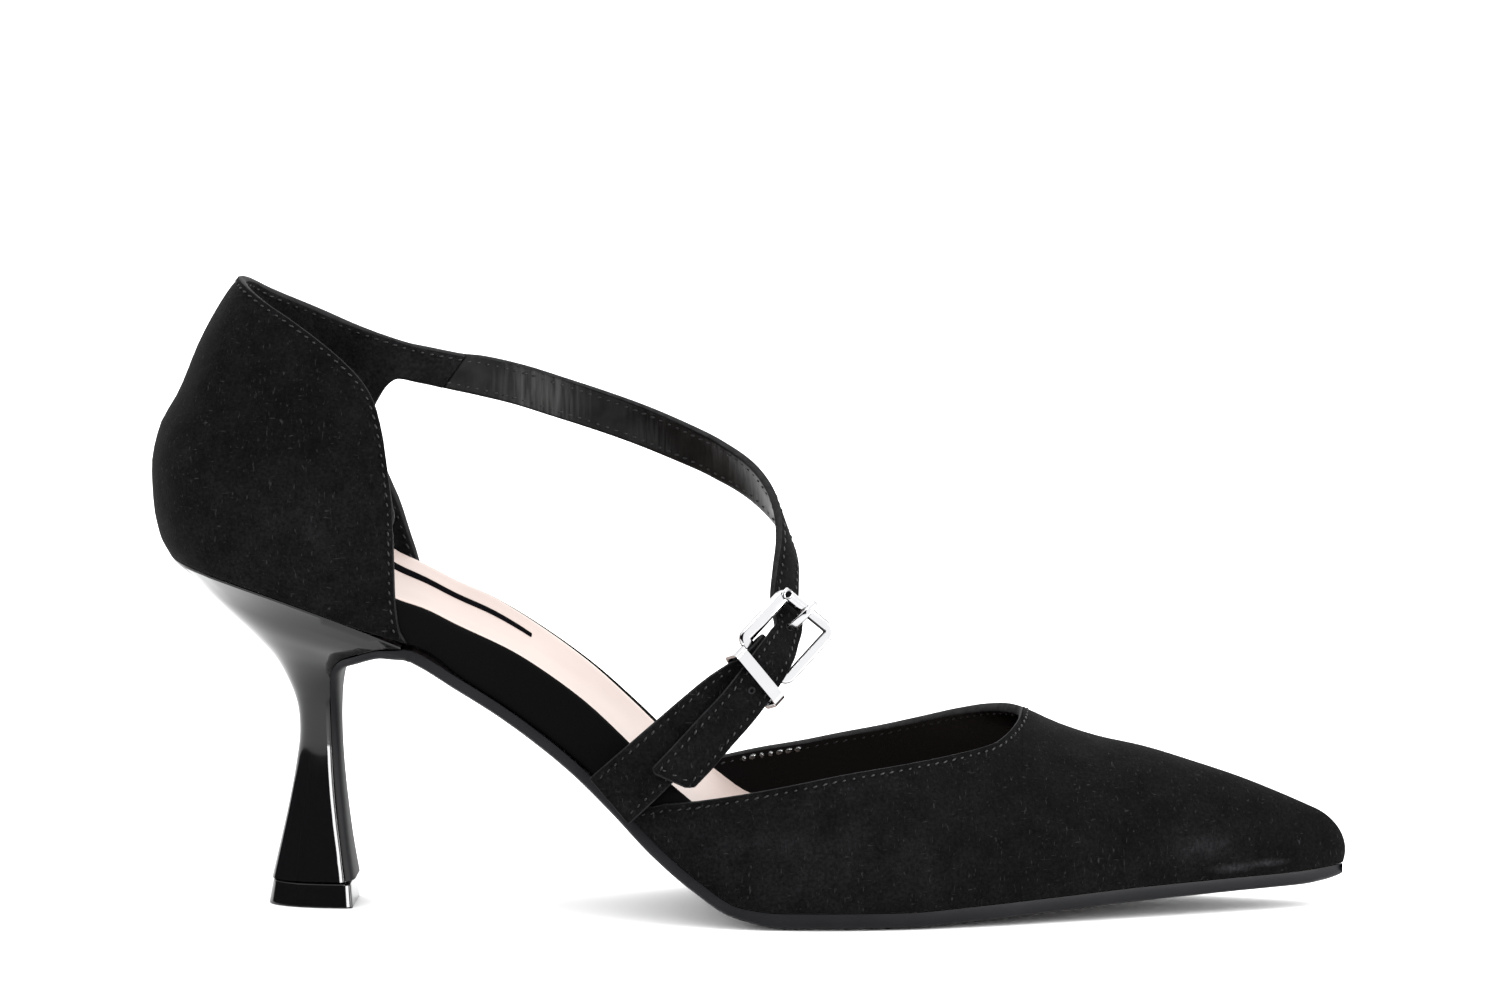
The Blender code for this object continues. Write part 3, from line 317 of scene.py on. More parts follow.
OutlineRow = namedtuple("OutlineRow", "x lateral medial columns")
WallRow = namedtuple("WallRow", "rise back side")
EdgeRow = namedtuple("EdgeRow", "x z")
ShiftRow = namedtuple("ShiftRow", "rise shift")
RandRow = namedtuple("RandRow", "x lateral medial")
RidgeRow = namedtuple("RidgeRow", "x y z swell")
HeelRow = namedtuple("HeelRow", "back_x back_z front_x front_z half")
FlapRow = namedtuple("FlapRow", "x z half")
StrapRow = namedtuple("StrapRow", "x y z turn tilt width")
BuckleRow = namedtuple("BuckleRow", "along across out turn tilt width")
FoldRow = namedtuple("FoldRow", "along out")
Column = namedtuple("Column", "x y seat side inward reach ridge_x")


def table(row, *cells):
    """A table with named columns."""
    return [row(*values) for values in cells]


# Featherline in plan, from heel to toe, with the number of ribs up to the next row
OUTLINE = table(
    OutlineRow,
    (-22.0, -17.2, 17.2, 2),
    (-12.0, -23.2, 23.0, 2),
    (-2.0, -24.8, 24.6, 2),
    (10.0, -25.0, 24.0, 4),
    (LATERAL_FRONT_X, -24.6, 22.9, 1),
    (MEDIAL_FRONT_X, -24.3, 22.3, 2),
    (34.0, -23.9, 20.6, 2),
    (45.0, -24.4, 19.8, 2),
    (WAIST_END_X, -26.3, 20.6, 2),
    (WING_X[0], -29.4, 23.2, 1),
    (WING_X[1], -30.8, 24.4, 1),
    (WING_X[2], -32.2, 25.9, 1),
    (WING_X[3], -34.0, 28.0, 2),
    (90.0, -36.6, 32.4, 2),
    (102.0, -37.6, 35.8, 2),
    (114.0, -37.0, 36.8, 2),
    (126.0, -34.8, 35.4, 2),
    (134.0, -32.3, 33.2, 2),
    (140.0, -30.2, 31.4, 2),
    (144.0, -28.7, 30.1, 2),
    (THROAT_X, -27.6, 29.2, 1),
    (154.0, -24.5, 26.7, 2),
    (164.0, -20.2, 23.3, 2),
    (174.0, -15.8, 19.9, 2),
    (184.0, -11.4, 16.6, 2),
    (194.0, -6.9, 13.4, 2),
    (202.0, -3.2, 11.0, 2),
    (208.0, 0.3, 9.0, 3),
)

# Height of the upper's lower edge: heel seat, waist, flat tread and toe spring
SEAT = table(
    EdgeRow, (-32.0, 73.0), (-20.0, 70.2), (-10.0, 67.3), (0.0, 63.9), (10.0, 60.2), (20.0, 56.2),
    (24.4, 54.4), (32.5, 49.4), (40.7, 44.3), (48.8, 38.6), (57.0, 32.1), (65.2, 24.4), (73.4, 16.2),
    (81.6, 9.6), (89.7, 4.8), (TREAD_X[0], 3.8), (TREAD_X[1], 3.8), (138.0, 4.6), (154.0, 5.6),
    (170.0, 6.6), (187.0, 7.3), (203.0, 7.9), (214.0, 8.8),
)

# Heel counter: how far the wall lies in from the featherline at each height, at the back and at the sides
COUNTER = table(
    WallRow, (0.0, 0.0, 0.0), (4.0, -2.1, -1.0), (11.0, -3.5, -2.0), (18.0, -3.8, -2.4),
    (26.0, -2.3, -2.1), (34.0, 2.0, -0.9), (44.0, 6.2, 1.4), (52.0, 10.6, 3.7), (57.5, 14.4, 5.4),
    (66.0, 20.0, 8.0),
)

LATERAL_COLLAR = table(
    EdgeRow, (-14.2, 129.3), (-8.1, 125.2), (-2.1, 121.5), (3.4, 117.7), (9.1, 113.1), (13.1, 108.8),
    (15.2, 105.1), (16.8, 99.3), (18.2, 92.3), (18.6, 90.0),
)
MEDIAL_COLLAR = table(
    EdgeRow, (-14.2, 129.3), (-9.1, 126.1), (-3.2, 123.3), (4.8, 119.8), (12.9, 116.1), (17.0, 114.6),
    (25.2, 112.5),
)

# Counter's front edges: how far the edge runs ahead of its foot at each height
LATERAL_FRONT = table(
    ShiftRow, (0.0, 2.3), (2.0, 1.0), (6.0, 0.4), (10.0, 0.1), (18.0, 0.0), (27.0, -0.2), (36.0, -0.6),
)
MEDIAL_FRONT = table(
    ShiftRow, (0.0, 0.5), (8.0, -1.2), (14.4, -2.7), (19.3, -4.3), (25.8, -6.3), (32.1, -8.9),
    (41.8, -12.3), (48.0, -14.0), (62.0, -13.2),
)
LATERAL_LEAN_X = 10.0
MEDIAL_LEAN_X = -2.0

# Height of the waist rand and of the insole's edge above the featherline
RAND = table(
    RandRow, (-29.0, 9.0, 9.0), (-10.0, 9.0, 10.0), (10.0, 9.0, 15.2), (20.0, 8.9, 13.1),
    (28.0, 9.7, 13.2), (36.5, 10.9, 14.1), (44.6, 12.1, 14.6), (52.8, 12.8, 14.9), (61.0, 13.4, 15.0),
    (70.0, 13.8, 15.0), (79.4, 14.4, 15.2), (90.0, 12.4, 13.8), (104.0, 7.2, 7.4), (120.0, 5.2, 5.2),
    (150.0, 3.7, 3.7), (190.0, 2.7, 2.7), (214.0, 2.8, 2.8),
)

# Ridge of the last over the instep and vamp, and how far each rib swells outwards
RIDGE = table(
    RidgeRow, (WAIST_END_X, 0.0, 96.0, 3.0), (79.4, 0.0, 78.0, 5.0), (95.0, 0.2, 67.0, 6.0),
    (115.0, 0.6, 55.0, 6.2), (134.0, 1.2, 46.5, 6.0), (146.6, 1.6, 40.9, 5.6), (154.0, 2.0, 37.5, 5.2),
    (162.0, 2.4, 34.9, 4.8), (171.0, 2.9, 32.9, 4.2), (183.0, 3.6, 29.2, 3.6), (191.0, 4.0, 26.5, 3.2),
    (199.5, 4.4, 23.1, 2.6), (207.0, 4.8, 19.8, 2.0),
)
RIB_LIFT = 0.5
RIB_CROWN = 0.52

LATERAL_TOPLINE = table(
    EdgeRow, (79.4, 25.5), (90.0, 27.4), (100.5, 29.4), (111.3, 31.4), (121.8, 32.8), (133.8, 34.5),
    (140.9, 35.9), (143.9, 37.6), (145.6, 39.2), (146.6, 40.6),
)
MEDIAL_TOPLINE = table(
    EdgeRow, (79.4, 26.0), (91.5, 28.3), (99.9, 29.6), (108.3, 31.4), (116.7, 33.3), (125.1, 35.7),
    (133.5, 38.4), (140.0, 40.2), (144.0, 40.8), (146.6, 40.6),
)

# Heel sections from the tip up to the seat
HEEL = table(
    HeelRow,
    (-8.2, 5.3, 7.6, 5.3, 9.0),
    (-6.4, 13.0, 6.6, 13.0, 7.4),
    (-4.6, 21.0, 5.6, 21.0, 6.2),
    (-3.1, 29.0, 5.0, 29.0, 5.4),
    (-2.3, 36.0, 4.7, 36.0, 5.1),
    (-2.8, 41.5, 4.6, 41.0, 5.6),
    (-4.7, 46.6, 4.7, 45.6, 7.6),
    (-7.4, 51.3, 5.3, 49.2, 10.8),
    (-11.6, 55.8, 7.2, 51.6, 14.4),
    (-17.0, 60.9, 10.6, 53.3, 18.4),
    (-23.0, 66.6, 15.2, 54.9, 22.0),
)
HEEL_SEAT_FRONT_X = 20.5
HEEL_SEAT_HALF = 25
HEEL_SEAT_ROUND_X = -20
HEEL_LIP = 0.4
HEEL_AROUND = 90
HEEL_ACROSS = 8
HEEL_STEPS = 4
HEEL_EDGE = 0.15
HEEL_CORNER = (1.05, 0.85)
HEEL_CORNER_Z = 43.0
HEEL_EDGE_STEPS = 8
HEEL_CUT = (0.61, 0.44)
CUT_STEPS = (0.05, 0.2, 0.8, 0.95)
TURN_STEPS = (0.2, 0.5, 0.8)
HEEL_ROUND = 0.85
HEEL_SQUARE = 0.9
HEEL_DENSE = 400
SECTION_POINTS = 181

# Outsole flap: where the heel's front face is, down to the tip, with the flap's half width
FLAP_PATH = table(
    FlapRow, (22.6, 54.85, 23.6), (21.2, 55.0, 23.4), (18.8, 54.75, 22.6), (15.4, 54.5, 20.8),
    (10.6, 53.0, 18.2), (7.1, 51.5, 14.6), (5.3, 49.1, 11.0), (4.7, 45.5, 7.8), (4.6, 41.0, 5.4),
    (4.65, 36.0, 4.7), (5.0, 29.0, 5.0), (5.7, 21.0, 5.8), (6.6, 13.0, 7.0), (7.7, 5.4, 8.6),
)

# Instep strap, from the counter over the instep to the buckle, with the way its face turns and tilts
STRAP = table(
    StrapRow,
    (12.2, 15.9, 110.9, 100, 18, 11.2),
    (17.0, 17.3, 111.1, 102, 15, 7.5),
    (22.0, 18.8, 110.0, 103, 13, 7.3),
    (ROOT_END_X, 20.4, 108.6, 102, 11, 7.4),
    (33.4, 21.8, 107.5, 100, 10, 8.0),
    (41.7, 23.5, 105.4, 96, 9, 8.2),
    (50.0, 24.6, 102.7, 92, 8, 8.2),
    (58.3, 25.0, 100.0, 86, 8, 8.2),
    (66.7, 23.8, 97.2, 78, 8, 8.2),
    (75.2, 20.8, 94.1, 66, 9, 8.2),
    (84.3, 15.4, 90.5, 49, 11, 8.2),
    (91.8, 9.0, 86.2, 28, 12, 8.2),
    (96.8, 2.2, 80.8, 4, 13, 8.2),
    (98.9, -4.6, 74.4, -18, 14, 8.0),
    (98.7, -10.0, 68.8, -34, 15, 7.4),
    (98.5, -14.2, 64.6, -48, 14, 6.8),
)

# The strap's run through the buckle to its tip, in the buckle's own axes
STRAP_END = table(
    BuckleRow,
    (11.4, 5.1, -2.6, -66, 12, 6.0),
    (9.4, 6.0, -0.4, -74, 12, 5.6),
    (6.8, 6.4, 1.8, -74, 12, 6.4),
    (4.0, 6.8, 3.7, -74, 12, 7.2),
    (0.5, 7.2, 4.8, -74, 12, 7.7),
    (-4.0, 7.9, 4.2, -75, 11, 8.0),
    (-10.0, 8.5, 3.7, -76, 9, 8.2),
    (-18.0, 8.6, 3.3, -78, 7, 8.4),
    (-25.0, 8.7, 3.0, -82, 6, 8.6),
    (-32.2, 8.7, 2.0, -85, 5, 8.6),
)
TIP_SLANT = 3.2
TIP_ROUND = (0.7, 0.2)

# The prong after its hook: under the strap, through its hole and over the far bar
PRONG = table(
    FoldRow, (3.6, -1.75), (6.0, -1.85), (8.0, -1.5), (9.4, -0.8), (11.0, 0.5), (12.6, 1.55), (14.4, 2.0),
    (16.8, 1.7),
)

# The buckle strap from its foot at the waist up to the buckle, and its fold round the bar
CHAPE = table(
    BuckleRow,
    (-40.6, 3.4, -6.2, -97, 4, 11.8),
    (-33.0, 3.6, -1.7, -91, 5, 11.4),
    (-25.0, 4.0, -0.2, -84, 7, 10.7),
    (-17.0, 4.5, 0.4, -78, 8, 10.0),
    (-10.0, 5.1, 0.6, -74, 10, 9.2),
    (-5.0, 5.7, 0.8, BUCKLE_TURN, BUCKLE_TILT, 8.0),
)
FOLD = table(
    FoldRow, (-2.2, 1.1), (0.2, 1.66), (2.8, 1.62), (4.0, 0.7), (4.0, -0.7), (2.8, -1.62), (0.2, -1.72),
    (-2.2, -1.3), (-5.0, -0.95), (-8.5, -1.15),
)
FOLD_WIDTH = 6.8


# Smooth curves

def smooth(rows, across, up):
    """A function through the rows' points that neither overshoots nor kinks."""
    xs = np.array([getattr(row, across) for row in rows], float)
    ys = np.array([getattr(row, up) for row in rows], float)
    steps = np.diff(xs)
    slopes = np.diff(ys) / steps
    tangents = np.zeros(len(xs))
    tangents[0], tangents[-1] = slopes[0], slopes[-1]
    for i in range(1, len(xs) - 1):
        if slopes[i - 1] * slopes[i] > 0:
            first = 2 * steps[i] + steps[i - 1]
            second = steps[i] + 2 * steps[i - 1]
            tangents[i] = (first + second) / (first / slopes[i - 1] + second / slopes[i])

    xs, ys, steps, tangents = xs.tolist(), ys.tolist(), steps.tolist(), tangents.tolist()

    def value(x):
        x = min(max(x, xs[0]), xs[-1])
        i = min(bisect.bisect_right(xs, x) - 1, len(steps) - 1)
        t = (x - xs[i]) / steps[i]
        lower = ys[i] * (1 + 2 * t) * (1 - t) ** 2 + tangents[i] * steps[i] * t * (1 - t) ** 2
        upper = ys[i + 1] * t * t * (3 - 2 * t) - tangents[i + 1] * steps[i] * t * t * (1 - t)
        return lower + upper

    return value


def spline(points, counts, closed):
    """Points along a smooth curve through the given points, with so many steps in each span."""
    points = np.array(points, float)
    total = len(points)
    spans = total if closed else total - 1
    chords = [np.linalg.norm(points[(i + 1) % total] - points[i]) for i in range(spans)]
    tangents = []
    for i in range(total):
        if closed or 0 < i < total - 1:
            before = (points[i] - points[i - 1]) / chords[i - 1]
            after = (points[(i + 1) % total] - points[i]) / chords[i]
            tangents.append((before * chords[i] + after * chords[i - 1]) / (chords[i - 1] + chords[i]))
        elif i == 0:
            tangents.append((points[1] - points[0]) / chords[0])
        else:
            tangents.append((points[i] - points[i - 1]) / chords[i - 1])
    found = []
    for i in range(spans):
        following = (i + 1) % total
        for step in range(counts[i]):
            t = step / counts[i]
            found.append(
                points[i] * (1 + 2 * t) * (1 - t) ** 2 + tangents[i] * chords[i] * t * (1 - t) ** 2
                + points[following] * t * t * (3 - 2 * t) - tangents[following] * chords[i] * t * t * (1 - t)
            )
    if not closed:
        found.append(points[-1])
    return np.array(found)


def open_spline(points, steps):
    """Points along an open smooth curve, with the same count of steps in every span."""
    return spline(points, [steps] * (len(points) - 1), False)


def ease(value, low, high):
    """A smooth step from nought to one between two values."""
    t = min(max((value - low) / (high - low), 0.0), 1.0)
    return t * t * (3 - 2 * t)


def squared(value, power):
    """A power of a value's size, with the value's sign."""
    return math.copysign(abs(value) ** power, value)


def unit(way):
    """A direction at length one."""
    return way / max(np.linalg.norm(way), TINY)


def bend(before, corner, after, t):
    """A place on the curve that rounds off a corner."""
    return before * (1 - t) ** 2 + corner * 2 * t * (1 - t) + after * t * t


def circle(count):
    """Even steps round a circle, as pairs of cosine and sine."""
    angles = [2 * math.pi * k / count for k in range(count)]
    return [(math.cos(angle), math.sin(angle)) for angle in angles]


def even_points(points, count):
    """So many points at even steps along a run of points."""
    points = np.array(points, float)
    lengths = np.concatenate([[0.0], np.cumsum(np.linalg.norm(np.diff(points, axis=0), axis=1))])
    wanted = np.linspace(0.0, lengths[-1], count)
    return np.stack([np.interp(wanted, lengths, points[:, k]) for k in range(points.shape[1])], axis=1)


def facing(turn, tilt):
    """The way that a face looks, turned round Z and tilted up, in degrees."""
    turn, tilt = math.radians(turn), math.radians(tilt)
    return np.array([math.cos(tilt) * math.cos(turn), math.cos(tilt) * math.sin(turn), math.sin(tilt)])


def both_sides(lateral, medial, across, up):
    """Curves for the lateral side, number -1, and the medial side, number 1."""
    return {-1: smooth(lateral, across, up), 1: smooth(medial, across, up)}


seat_z = smooth(SEAT, "x", "z")
counter_back = smooth(COUNTER, "rise", "back")
counter_side = smooth(COUNTER, "rise", "side")
ridge_y = smooth(RIDGE, "x", "y")
ridge_z = smooth(RIDGE, "x", "z")
ridge_swell = smooth(RIDGE, "x", "swell")
rand_rise = {-1: smooth(RAND, "x", "lateral"), 1: smooth(RAND, "x", "medial")}
collar_z = both_sides(LATERAL_COLLAR, MEDIAL_COLLAR, "x", "z")
front_shift = both_sides(LATERAL_FRONT, MEDIAL_FRONT, "rise", "shift")
topline_z = both_sides(LATERAL_TOPLINE, MEDIAL_TOPLINE, "x", "z")
FRONT_X = {-1: LATERAL_FRONT_X, 1: MEDIAL_FRONT_X}
LEAN_X = {-1: LATERAL_LEAN_X, 1: MEDIAL_LEAN_X}


# Columns round the last

def outline_points():
    lateral = [(row.x, row.lateral) for row in OUTLINE]
    medial = [(row.x, row.medial) for row in reversed(OUTLINE)]
    counts = [COLUMN_STEPS * count for count in [HEEL_BACK_COLUMNS] + [row.columns for row in OUTLINE]]
    points = [(HEEL_BACK_X, 0.0)] + lateral + [TOE_TIP] + medial
    return spline(points, counts + counts[::-1], True)


def column_at(point, side):
    """The column that stands on a featherline point and leans inwards to the ridge or the heel's middle."""
    x, y = float(point[0]), float(point[1])
    if x > WAIST_END_X:
        ridge_x = x if x < NOSE_X else NOSE_X + (x - NOSE_X) * NOSE_SHARE
        target = np.array([ridge_x, ridge_y(ridge_x)])
    else:
        ridge_x = x
        target = np.array([max(x, HEEL_CENTRE_X), 0.0])
    way = target - np.array([x, y])
    reach = float(np.linalg.norm(way))
    return Column(x, y, seat_z(x), side, way / reach, reach, ridge_x)


def counter_point(column, rise):
    """The counter's and the waist's outer face at a height above the featherline."""
    back = min(max((HEEL_BLEND_X - column.x) / (HEEL_BLEND_X - HEEL_BACK_X), 0.0), 1.0) ** COUNTER_TURN
    inset = counter_side(rise) * (1 - back) + counter_back(rise) * back
    inset *= 1 - (1 - RAND_BULGE) * ease(column.x, RAND_FULL_X, RAND_FLAT_X)
    front = FRONT_X[column.side]
    lean = ease(column.x, LEAN_X[column.side], front) * (1 - ease(column.x, front, front + LEAN_FADE))
    x = column.x + column.inward[0] * inset + lean * front_shift[column.side](rise)
    return np.array([x, column.y + column.inward[1] * inset, column.seat + rise])


def rib_point(column, share):
    """The vamp's outer face, at a share of the way from the featherline to the ridge."""
    top = ridge_z(column.ridge_x)
    height = top - column.seat
    slope = (ridge_z(column.ridge_x + 1) - ridge_z(column.ridge_x - 1)) / 2
    drop = -slope * column.inward[0] * RIB_CROWN * column.reach
    insets = (0.0, -ridge_swell(column.x), column.reach * (1 - RIB_CROWN), column.reach)
    heights = (column.seat, column.seat + RIB_LIFT * height, top + drop, top)
    weights = ((1 - share) ** 3, 3 * share * (1 - share) ** 2, 3 * share * share * (1 - share), share ** 3)
    inset = sum(w * v for w, v in zip(weights, insets))
    z = sum(w * v for w, v in zip(weights, heights))
    return np.array([column.x + column.inward[0] * inset, column.y + column.inward[1] * inset, z])


def rib_share(column, z):
    """The share of the rib at which it first reaches a height."""
    low, high = 0.0, 1.0
    for _ in range(HALVINGS):
        middle = (low + high) / 2
        if rib_point(column, middle)[2] < z:
            low = middle
        else:
            high = middle
    return (low + high) / 2


def side_point(column, rise):
    """The outer face at a height above the featherline, anywhere round the shoe."""
    vamp = ease(column.x, WAIST_END_X, WING_X[3])
    if vamp == 0.0:
        return counter_point(column, rise)
    rib = rib_point(column, rib_share(column, column.seat + rise))
    if vamp == 1.0:
        return rib
    return counter_point(column, rise) * (1 - vamp) + rib * vamp


def collar_rise(column):
    """The height at which a column of the counter meets the collar's edge."""
    rise = COLLAR_START
    for _ in range(COLLAR_ROUNDS):
        rise += COLLAR_PULL * (collar_z[column.side](counter_point(column, rise)[0]) - column.seat - rise)
    return rise


def column_points(column):
    """The upper's outer points up one column, and how many rows of it there are."""
    rand = rand_rise[column.side](column.x)
    points = [side_point(column, rand * row / RAND_ROW) for row in range(RAND_ROW + 1)]
    if column.x <= FRONT_X[column.side] + NEAR:
        top = collar_rise(column)
        notch = top - STRAP_ROOT
        for row in range(RAND_ROW + 1, TOP_ROW + 1):
            if row <= NOTCH_ROW:
                rise = rand + (notch - rand) * (row - RAND_ROW) / (NOTCH_ROW - RAND_ROW)
            else:
                rise = notch + (top - notch) * (row - NOTCH_ROW) / (TOP_ROW - NOTCH_ROW)
            points.append(counter_point(column, rise))
    elif column.x > WING_X[3] + NEAR:
        first = rib_share(column, column.seat + rand)
        last = 1.0
        if column.x < THROAT_X - NEAR:
            last = rib_share(column, topline_z[column.side](column.x))
        for row in range(RAND_ROW + 1, TOP_ROW + 1):
            climb = 1 - (1 - (row - RAND_ROW) / (TOP_ROW - RAND_ROW)) ** ROW_CROWDING
            points.append(rib_point(column, first + (last - first) * climb))
    return points


# Strap ribbons

def buckle_axes():
    out = facing(BUCKLE_TURN, BUCKLE_TILT)
    level = unit(np.cross([0.0, 0.0, 1.0], out))
    rise = np.cross(out, level)
    roll = math.radians(BUCKLE_ROLL)
    along = level * math.cos(roll) + rise * math.sin(roll)
    across = level * math.sin(roll) - rise * math.cos(roll)
    return along, across, out


ALONG, ACROSS, OUT = buckle_axes()


def on_buckle(along, across, out):
    return np.array(BUCKLE_CORNER) + ALONG * along + ACROSS * across + OUT * out


def on_frame(along, across, out):
    """A place on the buckle's frame, which is a little wider and more slanted than its plan."""
    return on_buckle(along + FRAME_SHEAR * across * along / BUCKLE_LONG, across * FRAME_SPREAD, out)


def ribbon_frames(rows):
    """Centre, width direction, normal and half width along a strap, smoothed between its rows."""
    centres = [row[:3] if isinstance(row, StrapRow) else on_buckle(*row[:3]) for row in rows]
    packed = []
    for centre, row in zip(centres, rows):
        packed.append(np.concatenate([centre, facing(row.turn, row.tilt) * FACING_WEIGHT, [row.width]]))
    samples = open_spline(packed, STRAP_STEPS)
    ways = np.gradient(samples[:, :3], axis=0)
    frames = []
    for sample, way in zip(samples, ways):
        way = unit(way)
        normal = unit(sample[3:6] - way * np.dot(sample[3:6], way))
        frames.append((sample[:3], np.cross(way, normal), normal, sample[6] / 2))
    return frames


def root_frames():
    """How many of the strap's frames belong to its root on the counter."""
    return STRAP_STEPS * [row.x for row in STRAP].index(ROOT_END_X) + 1


# Walls with rounded rims

Rim = namedtuple("Rim", "point normal side")


def cell_normals(points, cells):
    """The normal at each point, from the cells round it."""
    normals = {key: np.zeros(3) for key in points}
    for keys in cells:
        corners = [points[key] for key in keys]
        normal = np.zeros(3)
        for i in range(1, len(corners) - 1):
            normal += np.cross(corners[i] - corners[0], corners[i + 1] - corners[0])
        for key in keys:
            normals[key] += unit(normal)
    return {key: unit(value) for key, value in normals.items()}


def edge_uses(cells):
    """The edges of the cells, each with the pairs of keys in which cells run along it."""
    uses = {}
    for keys in cells:
        for a, b in zip(keys, keys[1:] + keys[:1]):
            uses.setdefault(frozenset((a, b)), []).append((a, b))
    return uses


def shell(points, cells, outer, inner, joined=(), dips=None):
    """A wall between two depths behind the given points, with a rounded rim on every free edge.

    Dips lower its outer face. Returns its vertices, faces and face tags, and the point, normal and outward
    way of each rim key.
    """
    normals = cell_normals(points, cells)
    free = [pairs[0] for pairs in edge_uses(cells).values() if len(pairs) == 1]
    ways = {key: np.zeros(3) for pair in free for key in pair}
    for a, b in free:
        if a in joined and b in joined:
            continue
        edge = unit(points[b] - points[a])
        for key in (a, b):
            ways[key] = ways[key] + np.cross(edge, normals[key])
    rims = {key: Rim(points[key], normals[key], unit(way)) for key, way in ways.items()}
    vertices, faces, tags, numbers = [], [], [], {}

    def vertex(key, step):
        """Step 0 is the outer face, RIM_STEPS the inner face, and the steps between go round the rim."""
        if (key, step) not in numbers:
            angle = math.pi * step / RIM_STEPS
            near, far = (1 + math.cos(angle)) / 2, (1 - math.cos(angle)) / 2
            dip = dips.get(key, 0.0) if dips else 0.0
            place = points[key] - normals[key] * ((outer + dip) * near + inner * far)
            if 0 < step < RIM_STEPS:
                place = place + rims[key].side * RIM_BULGE * math.sin(angle)
            numbers[(key, step)] = len(vertices)
            vertices.append(place)
        return numbers[(key, step)]

    for keys in cells:
        faces.append([vertex(key, 0) for key in keys])
        faces.append([vertex(key, RIM_STEPS) for key in reversed(keys)])
        tags += ["outer", "inner"]
    for a, b in free:
        for step in range(RIM_STEPS):
            faces.append([vertex(b, step), vertex(a, step), vertex(a, step + 1), vertex(b, step + 1)])
            tags.append("rim" if step < RIM_STEPS // 2 else "back_rim")
    return vertices, faces, tags, rims


def add_object(name, data):
    item = bpy.data.objects.new(name, data)
    bpy.context.scene.collection.objects.link(item)
    return item


def piece(name, vertices, faces, looks, node=None, slot=None, tags=None, sharp=None):
    """A smooth mesh in the shoe's frame that rides the shoe and stands for a solid. Looks go by face tag."""
    mesh = bpy.data.meshes.new(name)
    whole = []
    kept = []
    for number, face in enumerate(faces):
        corners = list(dict.fromkeys(face))
        if len(corners) > 2:
            whole.append(corners)
            kept.append(number)
    mesh.from_pydata([[float(v) * MM for v in vertex] for vertex in vertices], [], whole)
    named = list(dict.fromkeys(looks.values())) if isinstance(looks, dict) else [looks]
    for look in named:
        mesh.materials.append(look)
    if isinstance(looks, dict):
        for polygon, number in zip(mesh.polygons, kept):
            polygon.material_index = named.index(looks[tags[number]])
    mesh.shade_smooth()
    if sharp:
        mesh.set_sharp_from_angle(angle=math.radians(sharp))
    item = add_object(name, mesh)
    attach(item, "root")
    if node:
        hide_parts(*node)
    return item


# Materials

def grey(light):
    return (light, light, light)


def cool(light):
    """A grey with a little blue in it."""
    return (light, light, light * COOL)


def new_material(name, colour, roughness):
    material = bpy.data.materials.new(name)
    material.use_nodes = True
    tree = material.node_tree
    shader = tree.nodes["Principled BSDF"]
    shader.inputs["Base Color"].default_value = (*colour, 1)
    shader.inputs["Roughness"].default_value = roughness
    return material, tree, shader


def noise(tree, scale, detail=2.0, stretch=None, turn=None):
    place = tree.nodes.new("ShaderNodeTexCoord")
    texture = tree.nodes.new("ShaderNodeTexNoise")
    texture.inputs["Scale"].default_value = scale
    texture.inputs["Detail"].default_value = detail
    source = place.outputs["Object"]
    if stretch:
        mapping = tree.nodes.new("ShaderNodeMapping")
        mapping.inputs["Scale"].default_value = stretch
        mapping.inputs["Rotation"].default_value = turn or (0, 0, 0)
        tree.links.new(source, mapping.inputs["Vector"])
        source = mapping.outputs["Vector"]
    tree.links.new(source, texture.inputs["Vector"])
    return texture.outputs["Fac"]


def ramp(tree, source, stops):
    """A colour ramp over a value, from (place, colour) stops."""
    node = tree.nodes.new("ShaderNodeValToRGB")
    elements = node.color_ramp.elements
    while len(elements) < len(stops):
        elements.new(0.5)
    for element, (place, colour) in zip(elements, stops):
        element.position = place
        element.color = (*colour, 1)
    tree.links.new(source, node.inputs["Fac"])
    return node.outputs["Color"]


def blend(tree, mode, first, second):
    """Two colours put together in one of the usual ways, channel by channel."""
    node = tree.nodes.new("ShaderNodeMix")
    node.data_type = "RGBA"
    node.blend_type = mode
    node.inputs["Factor"].default_value = 1.0
    tree.links.new(first, node.inputs[6])
    tree.links.new(second, node.inputs[7])
    return node.outputs[2]


def bump(tree, shader, source, strength, distance):
    node = tree.nodes.new("ShaderNodeBump")
    node.inputs["Strength"].default_value = strength
    node.inputs["Distance"].default_value = distance
    tree.links.new(source, node.inputs["Height"])
    tree.links.new(node.outputs["Normal"], shader.inputs["Normal"])


